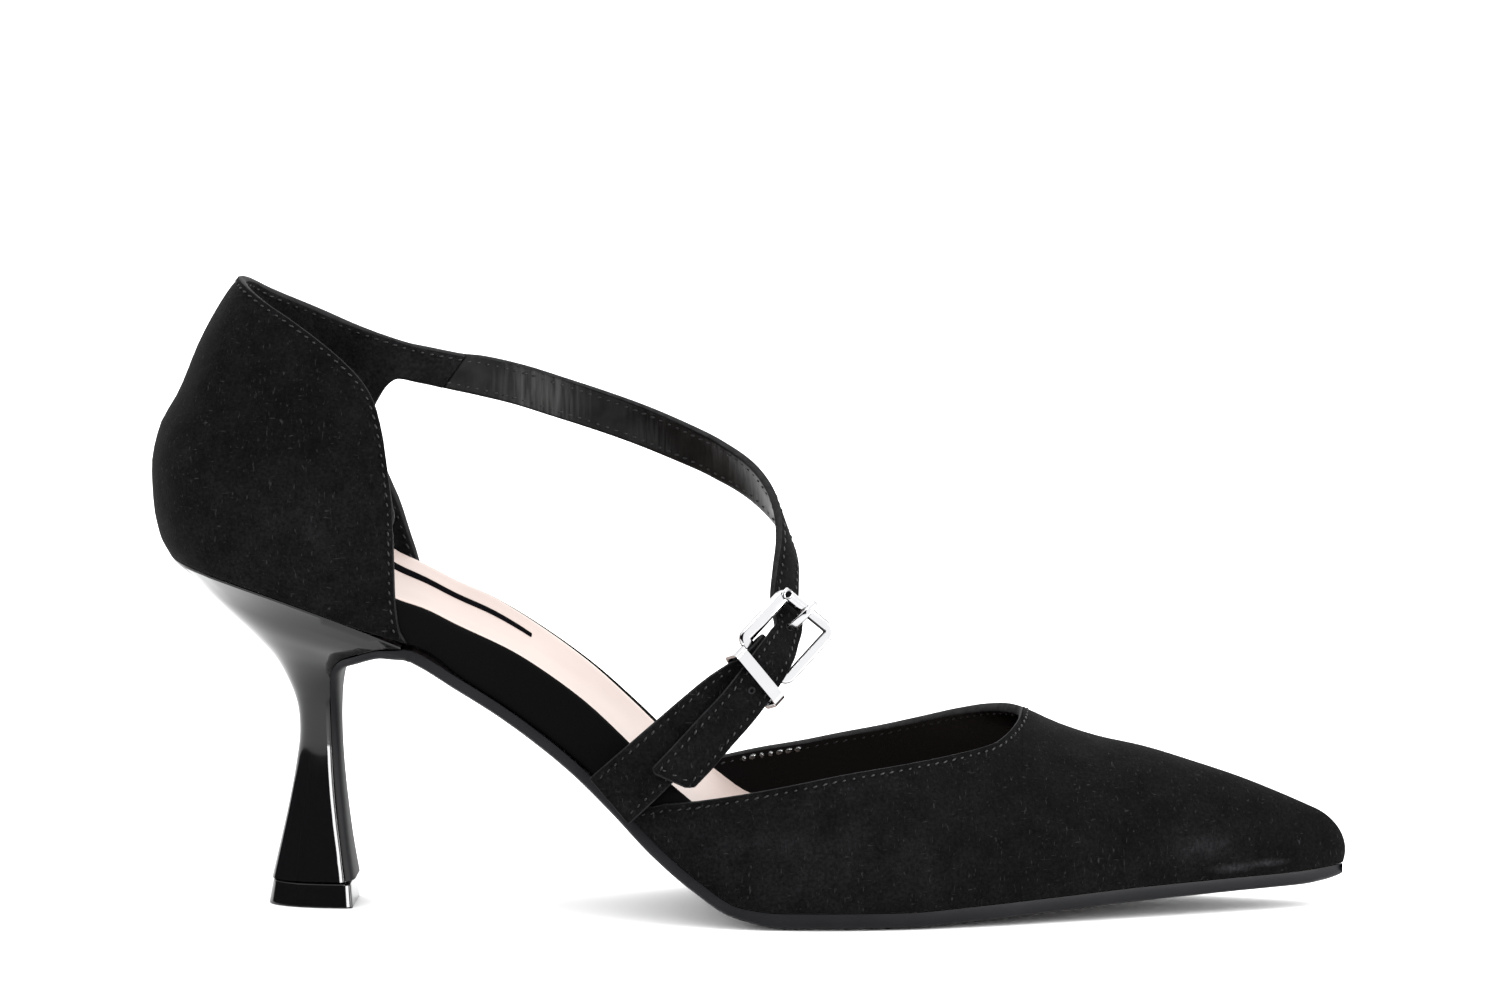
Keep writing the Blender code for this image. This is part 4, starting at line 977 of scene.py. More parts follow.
def suede(name, dark, light):
    """Black napped suede: painted sheen in soft light patches, light scuffs near the toe, fine mottling and
    light fibres.
    """
    material, tree, shader = new_material(name, cool(light), 0.95)
    colour = ramp(tree, noise(tree, 26, 3), [(0.3, cool(dark)), (0.72, cool(light))])
    # Painted sheen: soft light patches added to the suede's colour, with light scuffs near the toe
    for x, y, z, wide, tall, lift in SHEEN_AND_SCUFF_PATCHES:
        colour = blend(tree, "ADD", colour, sheen_patch(tree, (x, y, z), (wide, tall), lift))
    for scale, detail, low, high in SPECKLES:
        speckle = ramp(tree, noise(tree, scale, detail), [(0.3, grey(low)), (0.7, grey(high))])
        colour = blend(tree, "MULTIPLY", colour, speckle)
    for stretch, turn in FIBRES:
        colour = blend(tree, "LIGHTEN", colour, ramp(tree, noise(tree, 1.0, 2, stretch, turn), FIBRE_STOPS))
    tree.links.new(colour, shader.inputs["Base Color"])
    shader.inputs["Specular IOR Level"].default_value = 0.03
    shader.inputs["Sheen Weight"].default_value = 0.012
    shader.inputs["Sheen Roughness"].default_value = 0.4
    bump(tree, shader, noise(tree, 2600, 3), 0.4, 0.0003)
    return material


def sheen_patch(tree, centre, size, light):
    """A soft light patch at a place on the shoe, in millimetres: painted sheen on the suede, and where the
    strap's lining shines.
    """
    place = tree.nodes.new("ShaderNodeTexCoord")
    mapping = tree.nodes.new("ShaderNodeMapping")
    wide, tall = size
    scale = (1 / (wide * MM), 1 / (wide * MM), 1 / (tall * MM))
    mapping.inputs["Scale"].default_value = scale
    mapping.inputs["Location"].default_value = [-c * MM * k for c, k in zip(centre, scale)]
    sphere = tree.nodes.new("ShaderNodeTexGradient")
    sphere.gradient_type = "SPHERICAL"
    tree.links.new(place.outputs["Object"], mapping.inputs["Vector"])
    tree.links.new(mapping.outputs["Vector"], sphere.inputs["Vector"])
    return ramp(tree, sphere.outputs["Fac"], [(0.0, grey(0)), (0.9, cool(light))])


def strap_lining():
    """Black leather inside the strap, where it is creased across and shines in short bands."""
    material, tree, shader = new_material("strap_lining", LINING, 0.3)
    bands = ramp(tree, noise(tree, 1.0, 3, (1100, 120, 90)), [(0.3, grey(0.2)), (0.75, grey(1.0))])
    shine = blend(tree, "MULTIPLY", bands, sheen_patch(tree, CREASED, CREASED_SIZE, 0.6))
    base = ramp(tree, noise(tree, 200, 2), [(0.3, grey(0.07)), (0.7, grey(0.15))])
    tree.links.new(blend(tree, "LIGHTEN", shine, base), shader.inputs["Specular IOR Level"])
    bump(tree, shader, noise(tree, 1.0, 2, (900, 250, 90)), 0.4, 0.0003)
    return material


def surface(name, colour, roughness, shine, grain=None, tones=None, haze=None):
    """A material of one colour or two noisy tones, with an even or noisy gloss and a fine grain."""
    material, tree, shader = new_material(name, colour, roughness)
    shader.inputs["Specular IOR Level"].default_value = shine
    for stops, socket in ((tones, "Base Color"), (haze, "Roughness")):
        if stops:
            texture, low, high = stops
            tree.links.new(ramp(tree, noise(tree, *texture), [low, high]), shader.inputs[socket])
    if grain:
        texture, strength, distance = grain
        bump(tree, shader, noise(tree, *texture), strength, distance)
    return material


def sock(name, light):
    """Pale pink-beige sock leather with a fine grain and slightly uneven tone."""
    dark, pale = [[c * light for c in tone] for tone in SOCK_TONES]
    return surface(name, pale, 0.5, 0.25, ((1600, 2), 0.12, 0.0002), ((45, 3), (0.3, dark), (0.7, pale)))


def sole(name, roughness):
    """Satin black sole with faint wear marks."""
    tones = ((120, 3), (0.35, (0.0024, 0.0024, 0.0034)), (0.75, (0.0045, 0.0045, 0.0062)))
    return surface(name, (0.0032, 0.0032, 0.0044), roughness, SOLE_SHINE, ((700, 3), 0.1, 0.0002), tones)


def metal(name, light):
    """Polished silver metal with faint handling haze, at a given brightness: the darker copies are painted
    grey and dark reflections and shade.
    """
    haze = ((400, 3), (0.3, grey(0.06)), (0.8, grey(0.14)))
    material = surface(name, (light, light, light * 1.02), 0.1, 0.5, haze=haze)
    material.node_tree.nodes["Principled BSDF"].inputs["Metallic"].default_value = 1.0
    return material


LINING_HAZE = ((60, 3), (0.3, grey(0.2)), (0.75, grey(0.36)))
# Cut edges are lighter than the suede: partly the raw edge's own grey fibres, partly a painted highlight
# along the rims
EDGE_TONES = ((700, 3), (0.3, (0.004, 0.004, 0.0043)), (0.7, (0.013, 0.013, 0.0138)))
GLOSS_HAZE = ((30, 2), (0.3, grey(0.05)), (0.8, grey(0.09)))
WEAVE = (1.0, 1, (600, 4000, 600))
LOOKS = {
    "suede": suede("suede", 0.0026, 0.005),
    # The counter's inside is a lighter copy of the suede: painted light on an inside that lies in shade
    "suede_inside_lit": suede("suede_inside_lit", 0.0065, 0.011),
    "lining": surface("lining", LINING, 0.24, 0.07, ((900, 2), 0.12, 0.0002), haze=LINING_HAZE),
    "rand": surface("rand_leather", (0.0006, 0.0006, 0.0007), 0.62, 0.03, ((1500, 3), 0.2, 0.0002)),
    "sock": sock("sock_leather", 1.03),
    # The footbed's edge is a lighter copy of the sock leather, a painted highlight along its rolled edge
    "sock_edge_highlight": sock("sock_edge_highlight", 1.2),
    "label": surface("woven_label", (0.0025, 0.0025, 0.003), 1.0, 0.0, (WEAVE, 0.3, 0.0001)),
    "gloss": surface("heel_gloss", (0.003, 0.003, 0.0033), 0.06, 0.27, haze=GLOSS_HAZE),
    "sole": sole("sole_rubber", 0.42),
    "flap": sole("sole_flap", 0.6),
    "metal": metal("silver", 0.37),
    # The darker silvers are painted grey and dark reflections and shade, for the buckle frame's sides and
    # inner edges
    "metal_painted_grey": metal("silver_painted_grey", 0.2),
    "metal_painted_dark": metal("silver_painted_dark", 0.02),
    "thread": surface("thread", (0.006, 0.006, 0.0065), 0.45, 0.2, ((3000, 1), 0.3, 0.0001)),
    "edge": surface("leather_edge", (0.008, 0.008, 0.0085), 0.7, 0.06, ((1800, 2), 0.3, 0.0002), EDGE_TONES),
    "strap_lining": strap_lining(),
    "pucker": surface("puckered_lining", LINING, 0.14, 1.0, ((1500, 2), 0.3, 0.0002)),
}


# Stitches

STITCHES = {"vertices": [], "faces": []}
PUCKERS = {"vertices": [], "faces": []}


def add_stitch(centre, way, normal, long=STITCH_LONG, thick=THREAD_R, store=STITCHES):
    """One stitch: a short rounded bead of thread, half sunk. A pucker of the leather is a larger bead."""
    way = unit(way - normal * np.dot(way, normal))
    way = unit(way + np.cross(normal, way) * STITCH_SLANT)
    across = np.cross(normal, way)
    first = len(store["vertices"])
    ends = len(BEAD_RINGS) - 1
    for place, size in BEAD_RINGS:
        for cosine, sine in circle(BEAD_SIDES):
            offset = across * cosine + normal * sine
            store["vertices"].append(centre + way * place * long / 2 + offset * size * thick)
    for r in range(ends):
        for k in range(BEAD_SIDES):
            a, b = first + r * BEAD_SIDES, first + (r + 1) * BEAD_SIDES
            following = (k + 1) % BEAD_SIDES
            store["faces"].append([a + k, a + following, b + following, b + k])
    store["faces"].append([first + k for k in range(BEAD_SIDES)][::-1])
    store["faces"].append([first + ends * BEAD_SIDES + k for k in range(BEAD_SIDES)])


def sewing_line(rims, keys, inset, lift, sign, pitch):
    """Even places and normals, two for each pitch, along a run of rim keys at an inset from the edge."""
    rows = []
    for key in keys:
        rim = rims[key]
        rows.append(np.concatenate([rim.point - rim.side * inset + rim.normal * lift, rim.normal * sign]))
    length = np.linalg.norm(np.diff(np.array(rows)[:, :3], axis=0), axis=1).sum()
    return even_points(rows, 2 * max(int(length / pitch), 1) + 1)


def waver(i, rate):
    """An uneven share between nought and one for each stitch."""
    return 0.5 + 0.5 * math.sin(i * i * rate)


def stitch_row(rims, keys, inset, wall, faces=("outer",)):
    """Stitches of uneven length along a run of rim keys, on the given faces of the wall."""
    full, less, rate = STITCH_UNEVEN
    for face in faces:
        sign, depth = (1, 0.0) if face == "outer" else (-1, wall)
        samples = sewing_line(rims, keys, inset, sign * STITCH_LIFT[face] - depth, sign, STITCH_PITCH)
        for i in range(1, len(samples) - 1, 2):
            centre = samples[i][:3] - samples[i][3:] * STITCH_SINK * waver(i, STITCH_RATE)
            way = samples[i + 1][:3] - samples[i - 1][:3]
            add_stitch(centre, way, samples[i][3:], STITCH_LONG * (full - less * math.sin(i * rate) ** 2))


def pucker_row(rims, keys, inset, wall):
    """Small swellings of the lining between the stitches, along a run of rim keys."""
    samples = sewing_line(rims, keys, inset, -wall, -1, PUCKER_PITCH)
    for i in range(1, len(samples) - 1, 2):
        swing = waver(i, PUCKER_RATE)
        sunk, long = (least + more * swing for least, more in (PUCKER_SINK, PUCKER_UNEVEN))
        centre = samples[i][:3] + samples[i][3:] * (STITCH_LIFT["inner"] - PUCKER_R * sunk)
        way = samples[i + 1][:3] - samples[i - 1][:3]
        add_stitch(centre, way, samples[i][3:], PUCKER_LONG * long, PUCKER_R, PUCKERS)


def press(points, edge, inset):
    """How far a soft trough, where a row of stitches along an edge pulls the wall in, lowers each point."""
    run = np.array([points[key] for key in edge])
    dips = {}
    for key in points:
        gap = np.linalg.norm(run - points[key], axis=1).min()
        if gap < 3 * inset:
            dips[key] = TROUGH * math.exp(-((gap - inset) / TROUGH_WIDE) ** 2)
    return dips


# The upper: vamp, counter with the strap's root, and waist rands

def fine_columns():
    points = outline_points()
    half = len(points) // 2
    return [column_at(point, -1 if index <= half else 1) for index, point in enumerate(points)]


COLUMNS = fine_columns()
TOTAL = len(COLUMNS)
HALF = TOTAL // 2


def index_at(x, side):
    """The number of the column at a place along one side."""
    run = range(HALF + 1) if side == -1 else range(TOTAL - 1, HALF, -1)
    return min(run, key=lambda index: abs(COLUMNS[index].x - x))


WING_START = {side: index_at(WING_X[0], side) for side in (-1, 1)}
FRONT_INDEX = {side: index_at(FRONT_X[side], side) for side in (-1, 1)}


def grid_key(index, row):
    """The key of a grid point. Points that fall together at the wings and on the ridge share one key."""
    index %= TOTAL
    column = COLUMNS[index]
    if row > RAND_ROW and abs(column.x - WING_X[3]) < NEAR:
        row = RAND_ROW
    if row == TOP_ROW and column.x > THROAT_X - NEAR:
        index = min(index, TOTAL - index)
    return (index, row)


def upper_groups():
    """The upper's points, and the cells of its vamp, its counter and its rands."""
    points = {}
    groups = {"vamp": [], "counter": [], "rand": []}
    for index, column in enumerate(COLUMNS):
        for row, point in enumerate(column_points(column)):
            points.setdefault(grid_key(index, row), point)
    for index in range(TOTAL):
        a, b = COLUMNS[index], COLUMNS[(index + 1) % TOTAL]
        side = -1 if index < HALF else 1
        low, high = min(a.x, b.x), max(a.x, b.x)
        wing = index - WING_START[side] if side == -1 else WING_START[side] - index - 1
        counter = high <= FRONT_X[side] + NEAR
        vamp = low >= WING_X[3] - NEAR
        for row in range(TOP_ROW):
            corners = [grid_key(index, row), grid_key(index + 1, row)]
            corners += [grid_key(index + 1, row + 1), grid_key(index, row + 1)]
            corners = [c for i, c in enumerate(corners) if c != corners[i - 1]]
            if counter or vamp:
                groups["counter" if counter else "vamp"].append(corners)
            elif row < min(wing, RAND_ROW):
                groups["vamp"].append(corners)
            elif row == wing and row < RAND_ROW:
                groups["vamp"].append(corners[:3] if side == -1 else [corners[0], corners[1], corners[3]])
            in_rand = FRONT_X[side] - RAND_UNDERLAP < low and high < WING_X[3] + RAND_UNDERLAP
            if in_rand and row < RAND_ROW:
                groups["rand"].append(corners)
    return points, groups


def root_grid(points):
    """Cells of the strap's root, which is cut in one with the medial counter, and the keys of its end."""
    edge = FRONT_INDEX[1]
    frames = ribbon_frames(STRAP)[STRAP_STEPS // 2:root_frames()]
    rows = TOP_ROW - NOTCH_ROW

    def key(step, j):
        return (edge, NOTCH_ROW + j) if step == 0 else ("root", step, j)

    for step, (centre, width, normal, half) in enumerate(frames, 1):
        skew = np.cross(normal, width) * SEAM_SKEW * ease(step, len(frames) - SEAM_BLEND, len(frames))
        for j in range(rows + 1):
            share = 2 * j / rows - 1
            points[key(step, j)] = centre + width * half * share + skew * share
    cells = []
    for step in range(len(frames)):
        for j in range(rows):
            cells.append([key(step + 1, j), key(step, j), key(step, j + 1), key(step + 1, j + 1)])
    last = len(frames)
    return cells, {key(last, j) for j in range(rows + 1)}, last, rows


def used(points, cells):
    """Only the points that the cells use."""
    return {key: points[key] for keys in cells for key in keys}


def make_wall(name, node, inner, wall, grid, joined=(), dips=None):
    """A suede wall with cut edges and the given inner face. Returns its rims, to sew along."""
    vertices, faces, tags, rims = shell(*grid, 0.0, wall, joined, dips)
    looks = {"outer": LOOKS["suede"], "rim": LOOKS["edge"], "inner": LOOKS[inner], "back_rim": LOOKS["edge"]}
    piece(name, vertices, faces, looks, [node], "suede", tags)
    return rims


def make_vamp(points, cells):
    points = used(points, cells)
    brim = [key for key in points if key[1] == TOP_ROW and COLUMNS[key[0]].x < THROAT_X + NEAR]
    dips = press(points, brim, EDGE_INSET)
    rims = make_wall("vamp", "upper", "lining", WALL, (points, cells), (), dips)
    puckered = [key for key in brim if key[0] > HALF and PUCKER_X[0] < COLUMNS[key[0]].x < PUCKER_X[1]]
    pucker_row(rims, sorted(puckered), EDGE_INSET, WALL)
    for side in (-1, 1):
        step = 1 if side == -1 else -1
        wing = [grid_key(WING_START[side] + step * i, i) for i in range(RAND_ROW)]
        start = WING_START[side] + step * RAND_ROW
        stop = HALF if side == -1 else HALF - 1
        run = [index % TOTAL for index in range(start, stop, step)]
        top = [grid_key(index, TOP_ROW) for index in run if COLUMNS[index].x < THROAT_X + NEAR]
        stitch_row(rims, wing[2:] + top[1:], EDGE_INSET, WALL, ("outer", "inner"))


def relax(points, cells, centre, reach):
    """Smooths the wall near a place: its free edge along itself, and the rest among all neighbours."""
    uses = edge_uses(cells).values()
    edge = {key for pairs in uses if len(pairs) == 1 for key in pairs[0]}
    neighbours = {}
    for pairs in uses:
        a, b = pairs[0]
        for one, other in ((a, b), (b, a)):
            if one not in edge or len(pairs) == 1:
                neighbours.setdefault(one, []).append(other)
    weights = {}
    for key in neighbours:
        weight = 1 - ease(np.linalg.norm(points[key] - centre), reach * RELAX_CORE, reach)
        if weight > 0:
            weights[key] = weight
    for _ in range(RELAX_ROUNDS):
        means = {key: np.mean([points[n] for n in neighbours[key]], axis=0) for key in weights}
        for key, weight in weights.items():
            points[key] = points[key] + (means[key] - points[key]) * weight * RELAX_PULL


def make_counter(points, cells):
    root, end, last, rows = root_grid(points)
    cells = cells + root
    for row, reach in ((NOTCH_ROW, NOTCH_REACH), (TOP_ROW, COLLAR_REACH)):
        relax(points, cells, points[(FRONT_INDEX[1], row)].copy(), reach)
    relax(points, cells, points[(FRONT_INDEX[-1], TOP_ROW)].copy(), CORNER_REACH)
    points = used(points, cells)
    collar = [key for key in points if key[1] == TOP_ROW]
    collar += [(FRONT_INDEX[-1], row) for row in range(TOP_ROW)]
    dips = press(points, collar, COLLAR_INSET)
    # The counter's inside takes the lighter copy of the suede, painted light in its shade
    rims = make_wall("counter", "upper", "suede_inside_lit", WALL, (points, cells), end, dips)
    lateral = [(index, TOP_ROW) for index in range(0, FRONT_INDEX[-1])]
    lateral += [(FRONT_INDEX[-1], row) for row in range(TOP_ROW - 1, 1, -1)]
    stitch_row(rims, lateral, COLLAR_INSET, WALL, ("outer", "inner"))
    medial = [(index % TOTAL, TOP_ROW) for index in range(TOTAL, FRONT_INDEX[1], -1)]
    medial += [("root", step, rows) for step in range(1, last + 1)]
    stitch_row(rims, medial, COLLAR_INSET, WALL, ("outer", "inner"))
    notch = [(FRONT_INDEX[1], row) for row in range(2, NOTCH_ROW)]
    notch += [("root", step, 0) for step in range(2, last + 1)]
    stitch_row(rims, notch, COLLAR_INSET, WALL)
    stitch_row(rims, notch[:NOTCH_ROW - NOTCH_UNSEWN], COLLAR_INSET, WALL, ("inner",))


def make_rands(points, cells):
    vertices, faces, tags, _ = shell(used(points, cells), cells, RAND_STEP, WALL - RAND_BACK)
    piece("waist_rand", vertices, faces, LOOKS["rand"], ["upper"], "suede", tags)


# Straps

def strip_cells(spans, across):
    """The cells of a strap's grid, so many along it and across it."""
    return [[(i + 1, j), (i, j), (i, j + 1), (i + 1, j + 1)] for i in range(spans) for j in range(across)]


def ribbon_grid(frames, across, crown, creases):
    """Outer points and cells of a strap, slightly crowned across its width."""
    points = {}
    for i, (centre, width, normal, half) in enumerate(frames):
        for j in range(across + 1):
            share = 2 * j / across - 1
            swell = crown * (1 - share * share) * ease(i, 0, 2 * STRAP_STEPS)
            fade = 1 - CREASE_FADE * share * share
            for place, wide, deep in creases:
                swell -= deep * math.exp(-((centre[0] - place) / wide) ** 2) * fade
            skew = np.cross(normal, width) * SEAM_SKEW * (1 - ease(i, 0, SEAM_BLEND))
            points[(i, j)] = centre + width * half * share + normal * swell + skew * share
    return points, strip_cells(len(frames) - 1, across)


def make_strap():
    frames = ribbon_frames(STRAP + STRAP_END)[root_frames() - 1:]
    points, cells = ribbon_grid(frames, STRAP_ACROSS, STRAP_CROWN, STRAP_CREASES)
    last = len(frames) - 1
    slanted = 3 * STRAP_STEPS
    for i in range(last - slanted, last + 1):
        for j in range(STRAP_ACROSS + 1):
            back = TIP_SLANT * (1 - j / STRAP_ACROSS) * ease(i, last - slanted, last)
            points[(i, j)] = points[(i, j)] + ALONG * back
    for step, trim in enumerate(TIP_ROUND):
        for j in (step, STRAP_ACROSS - step):
            points[(last, j)] = points[(last, j)] + ALONG * trim
    joined = {(0, j) for j in range(STRAP_ACROSS + 1)}
    edges = [(i, edge) for i in range(last + 1) for edge in (0, STRAP_ACROSS)]
    dips = press(points, edges, STRAP_INSET)
    grid = (points, cells)
    rims = make_wall("instep_strap", "instep_strap", "strap_lining", STRAP_WALL, grid, joined, dips)
    tip = [(last, j) for j in range(1, STRAP_ACROSS)]
    for edge in (0, STRAP_ACROSS):
        stitch_row(rims, [(i, edge) for i in range(last)], STRAP_INSET, STRAP_WALL, ("outer", "inner"))
    stitch_row(rims, tip, STRAP_INSET, STRAP_WALL)
    for name, along, size, ring in STRAP_HOLES:
        add_hole(name, frames, along, size, ring)


def add_hole(name, frames, along, size, ring):
    """A punched hole in the strap's run past the buckle, drawn as a dark oval of painted shade on the strap's
    face.
    """

    def place(frame, axis):
        return np.dot(frame[0] - np.array(BUCKLE_CORNER), axis)

    later = [frame for frame in frames if place(frame, OUT) > HOLE_OUT_FROM]
    later = [frame for frame in later if place(frame, ALONG) < BUCKLE_LONG]
    centre, width, normal, _ = min(later, key=lambda frame: abs(place(frame, ALONG) - along))
    centre = centre + normal * (STRAP_CROWN + HOLE_LIFT)
    add_ring(name, centre, np.cross(normal, width), width, normal, size, ring, LOOKS["edge"])


def add_ring(name, centre, way, width, normal, size, ring, look):
    """A dark oval of painted shade for a hole's dark inside, with a raised ring round it."""
    long, wide = size
    loop = [centre + way * cosine * long + width * sine * wide for cosine, sine in circle(HOLE_SIDES)]
    piece(name, loop, [list(range(HOLE_SIDES))], LOOKS["label"], None, "suede")
    piece(name + "_ring", *swept(loop, [normal] * HOLE_SIDES, ring, True), look, None, "suede")


def chape_frames():
    """Frames of the buckle strap from its foot, up and round the buckle's bar, and down behind."""
    frames = ribbon_frames(CHAPE)
    first = len(frames)
    fold = open_spline(FOLD, FOLD_STEPS)
    ways = np.gradient(fold, axis=0)
    for (along, out), way in zip(fold, ways):
        way = unit(way)
        normal = -ALONG * way[1] + OUT * way[0]
        frames.append((on_buckle(along, BUCKLE_WIDE / 2, out), ACROSS, normal, FOLD_WIDTH / 2))
    return frames, first


def make_chape():
    """The buckle strap, with a slot for the prong in its fold."""
    frames, first = chape_frames()
    slot = PRONG_SLOT / FOLD_WIDTH
    shares = (-1.0, -0.8, -0.6, -slot, 0.0, slot, 0.6, 0.8, 1.0)
    points = {}
    for i, (centre, width, normal, half) in enumerate(frames):
        for j, share in enumerate(shares):
            points[(i, j)] = centre + width * half * share + normal * CHAPE_WALL / 2
    gap = range(first, first + SLOT_SPANS * FOLD_STEPS)
    cells = []
    for cell in strip_cells(len(frames) - 1, len(shares) - 1):
        i, j = cell[1]
        if not (i in gap and j in SLOT_CELLS):
            cells.append(cell)
    rims = make_wall("buckle_strap", "buckle_strap", "suede", CHAPE_WALL, (points, cells))
    for edge in (0, len(shares) - 1):
        stitch_row(rims, [(i, edge) for i in range(1, first)], STRAP_INSET, CHAPE_WALL)


# Sole, heel and footbed

def loft(rings):
    """A closed skin through rings of the same count of points."""
    count = len(rings[0])
    vertices = [point for ring in rings for point in ring]
    faces = [list(range(count))[::-1]]
    for r in range(len(rings) - 1):
        low, high = r * count, (r + 1) * count
        for i in range(count):
            following = (i + 1) % count
            faces.append([low + i, low + following, high + following, high + i])
    faces.append([(len(rings) - 1) * count + i for i in range(count)])
    return vertices, faces


def closed_loft(rings):
    """A skin through rings that close on themselves, like a bent bar."""
    vertices, faces = loft(rings + rings[:1])
    return vertices, faces[1:-1]


def lining_point(column, rise, extra):
    """A point inside the upper's wall, a gap and an extra inset away from it."""
    ahead = side_point(column, rise + 0.5)
    here = side_point(column, rise)
    up = unit(ahead - here)
    inward = np.array([*column.inward, 0.0])
    return here + unit(inward - up * np.dot(inward, up)) * (WALL + INSOLE_GAP + extra)


def sock_height(left, right, share):
    """How far the sock is hollowed at a share of the way across."""
    hollow = min(INSOLE_HOLLOW, SOCK_HOLLOW * np.linalg.norm(right - left))
    return hollow * (1 - (2 * share - 1) ** 2)


def make_insole():
    """The footbed with a rolled upper edge and a slightly hollowed top."""
    rings = []
    for column in COLUMNS:
        rise = rand_rise[column.side](column.x) + (SOCK_RISE if column.side == 1 else 0.0)
        ring = []
        for share, drop, extra in SOCK_EDGE:
            ring.append(lining_point(column, max(rise * share - drop, GAP), extra))
        ring[0][2] = column.seat + GAP
        rings.append(ring)
    depth = len(SOCK_EDGE)
    vertices = [point for ring in rings for point in ring]
    faces = []
    for index in range(TOTAL):
        following = (index + 1) % TOTAL
        for step in range(depth - 1):
            a, b = index * depth + step, following * depth + step
            faces.append([a, b, b + 1, a + 1])
    rows = {}

    def top(index, step):
        if index in (0, HALF) or step in (0, SOCK_ACROSS):
            source = index if step == 0 or index in (0, HALF) else -index % TOTAL
            return source * depth + depth - 1
        if (index, step) not in rows:
            left, right = rings[index][-1], rings[-index][-1]
            share = step / SOCK_ACROSS
            point = left + (right - left) * share
            point[2] -= sock_height(left, right, share)
            rows[(index, step)] = len(vertices)
            vertices.append(point)
        return rows[(index, step)]

    for index in range(HALF):
        for step in range(SOCK_ACROSS):
            corners = ((0, 0), (1, 0), (1, 1), (0, 1))
            faces.append([top(index + ahead, step + aside) for ahead, aside in corners])
        back = -index % TOTAL
        faces.append([index * depth, back * depth, (back - 1) % TOTAL * depth, (index + 1) * depth])
    rim = TOTAL * (depth - 1)
    # The edge faces take the lighter sock leather, a painted highlight along the rolled edge
    tags = ["edge"] * rim + ["top"] * (len(faces) - rim)
    looks = {"edge": LOOKS["sock_edge_highlight"], "top": LOOKS["sock"]}
    piece("insole", vertices, faces, looks, ["insole"], "sock", tags)
    return rings


def make_label(rings):
    """A plain woven bar along the middle of the footbed's back."""
    points, cells = {}, []
    runs = [index for index in range(HALF) if LABEL_X[0] <= COLUMNS[index].x <= LABEL_X[-1]]
    middle_y = smooth([EdgeRow(x, y) for x, y in zip(LABEL_X, LABEL_Y)], "x", "z")
    for i, index in enumerate(runs):
        left, right = rings[index][-1], rings[-index][-1]
        middle = middle_y(COLUMNS[index].x)
        width = np.interp(COLUMNS[index].x, LABEL_X, LABEL_WIDE)
        for j in range(LABEL_ACROSS + 1):
            y = middle + width * (j / LABEL_ACROSS - 0.5)
            share = (y - left[1]) / (right[1] - left[1])
            point = left + (right - left) * share
            point[2] += LABEL_LIFT - sock_height(left, right, share)
            points[(i, j)] = point
    for i in range(len(runs) - 1):
        for j in range(LABEL_ACROSS):
            cells.append([(i, j), (i + 1, j), (i + 1, j + 1), (i, j + 1)])
    vertices, faces, tags, _ = shell(points, cells, 0.0, LABEL_LIFT)
    piece("insole_label", vertices, faces, LOOKS["label"], None, "sock", tags)


def toe_taper(x):
    """The share of the sole's depth that is rounded away towards the toe's end."""
    start, end = TOE_TAPER_X
    share = min(max((x - start) / (end - start), 0.0), 1.0)
    return TOE_TAPER * (1 - math.sqrt(1 - share * share))


def sole_depth(x):
    if x < TREAD_X[0]:
        return SOLE_WAIST + (SOLE_BALL - SOLE_WAIST) * ease(x, SOLE_THICKENS_X, TREAD_X[0])
    depth = SOLE_BALL + (SOLE_TOE - SOLE_BALL) * ease(x, TREAD_X[1], SOLE_THIN_X)
    return depth * (1 - toe_taper(x))


def sole_edge(depth, rim, turn, flap):
    """The sole's edge from top to underside, as (inset, depth): upright, or well rounded on the flap."""
    aside, below = SOLE_ROUND_BEND
    start = (0.0, depth - SOLE_ROUND * SOLE_ROUND_START)
    middle = (rim * aside, depth - SOLE_ROUND * below)
    end = (turn, depth)
    edge = [(0.0, 0.0)]
    for step in range(SOLE_EDGE_STEPS + 1):
        t = step / SOLE_EDGE_STEPS
        rounded = [bend(a, b, c, t) for a, b, c in zip(start, middle, end)]
        soft = [np.interp(t, FLAP_PLACES, FLAP_INSETS) * turn, np.interp(t, FLAP_PLACES, FLAP_DEPTHS) * depth]
        edge.append(tuple(r + (c - r) * flap for r, c in zip(rounded, soft)))
    return edge


def sole_ring(top_left, top_right, down, depth, flap=0.0):
    """One cross-section of the sole: a flat top, upright edges and a shaped lower rim."""
    width = np.linalg.norm(top_right - top_left)
    across = (top_right - top_left) / width
    turn = SOLE_TURN + (FLAP_TURN - SOLE_TURN) * flap
    left = sole_edge(depth, min(SOLE_RIM, width * SOLE_RIM_SHARE), min(turn, width * SOLE_TURN_SHARE), flap)
    right = [(width - a, d) for a, d in reversed(left)]
    tops = [(width * share, 0.0) for share in SOLE_TOPS]
    return [top_left + across * a + down * d for a, d in left + right + tops]


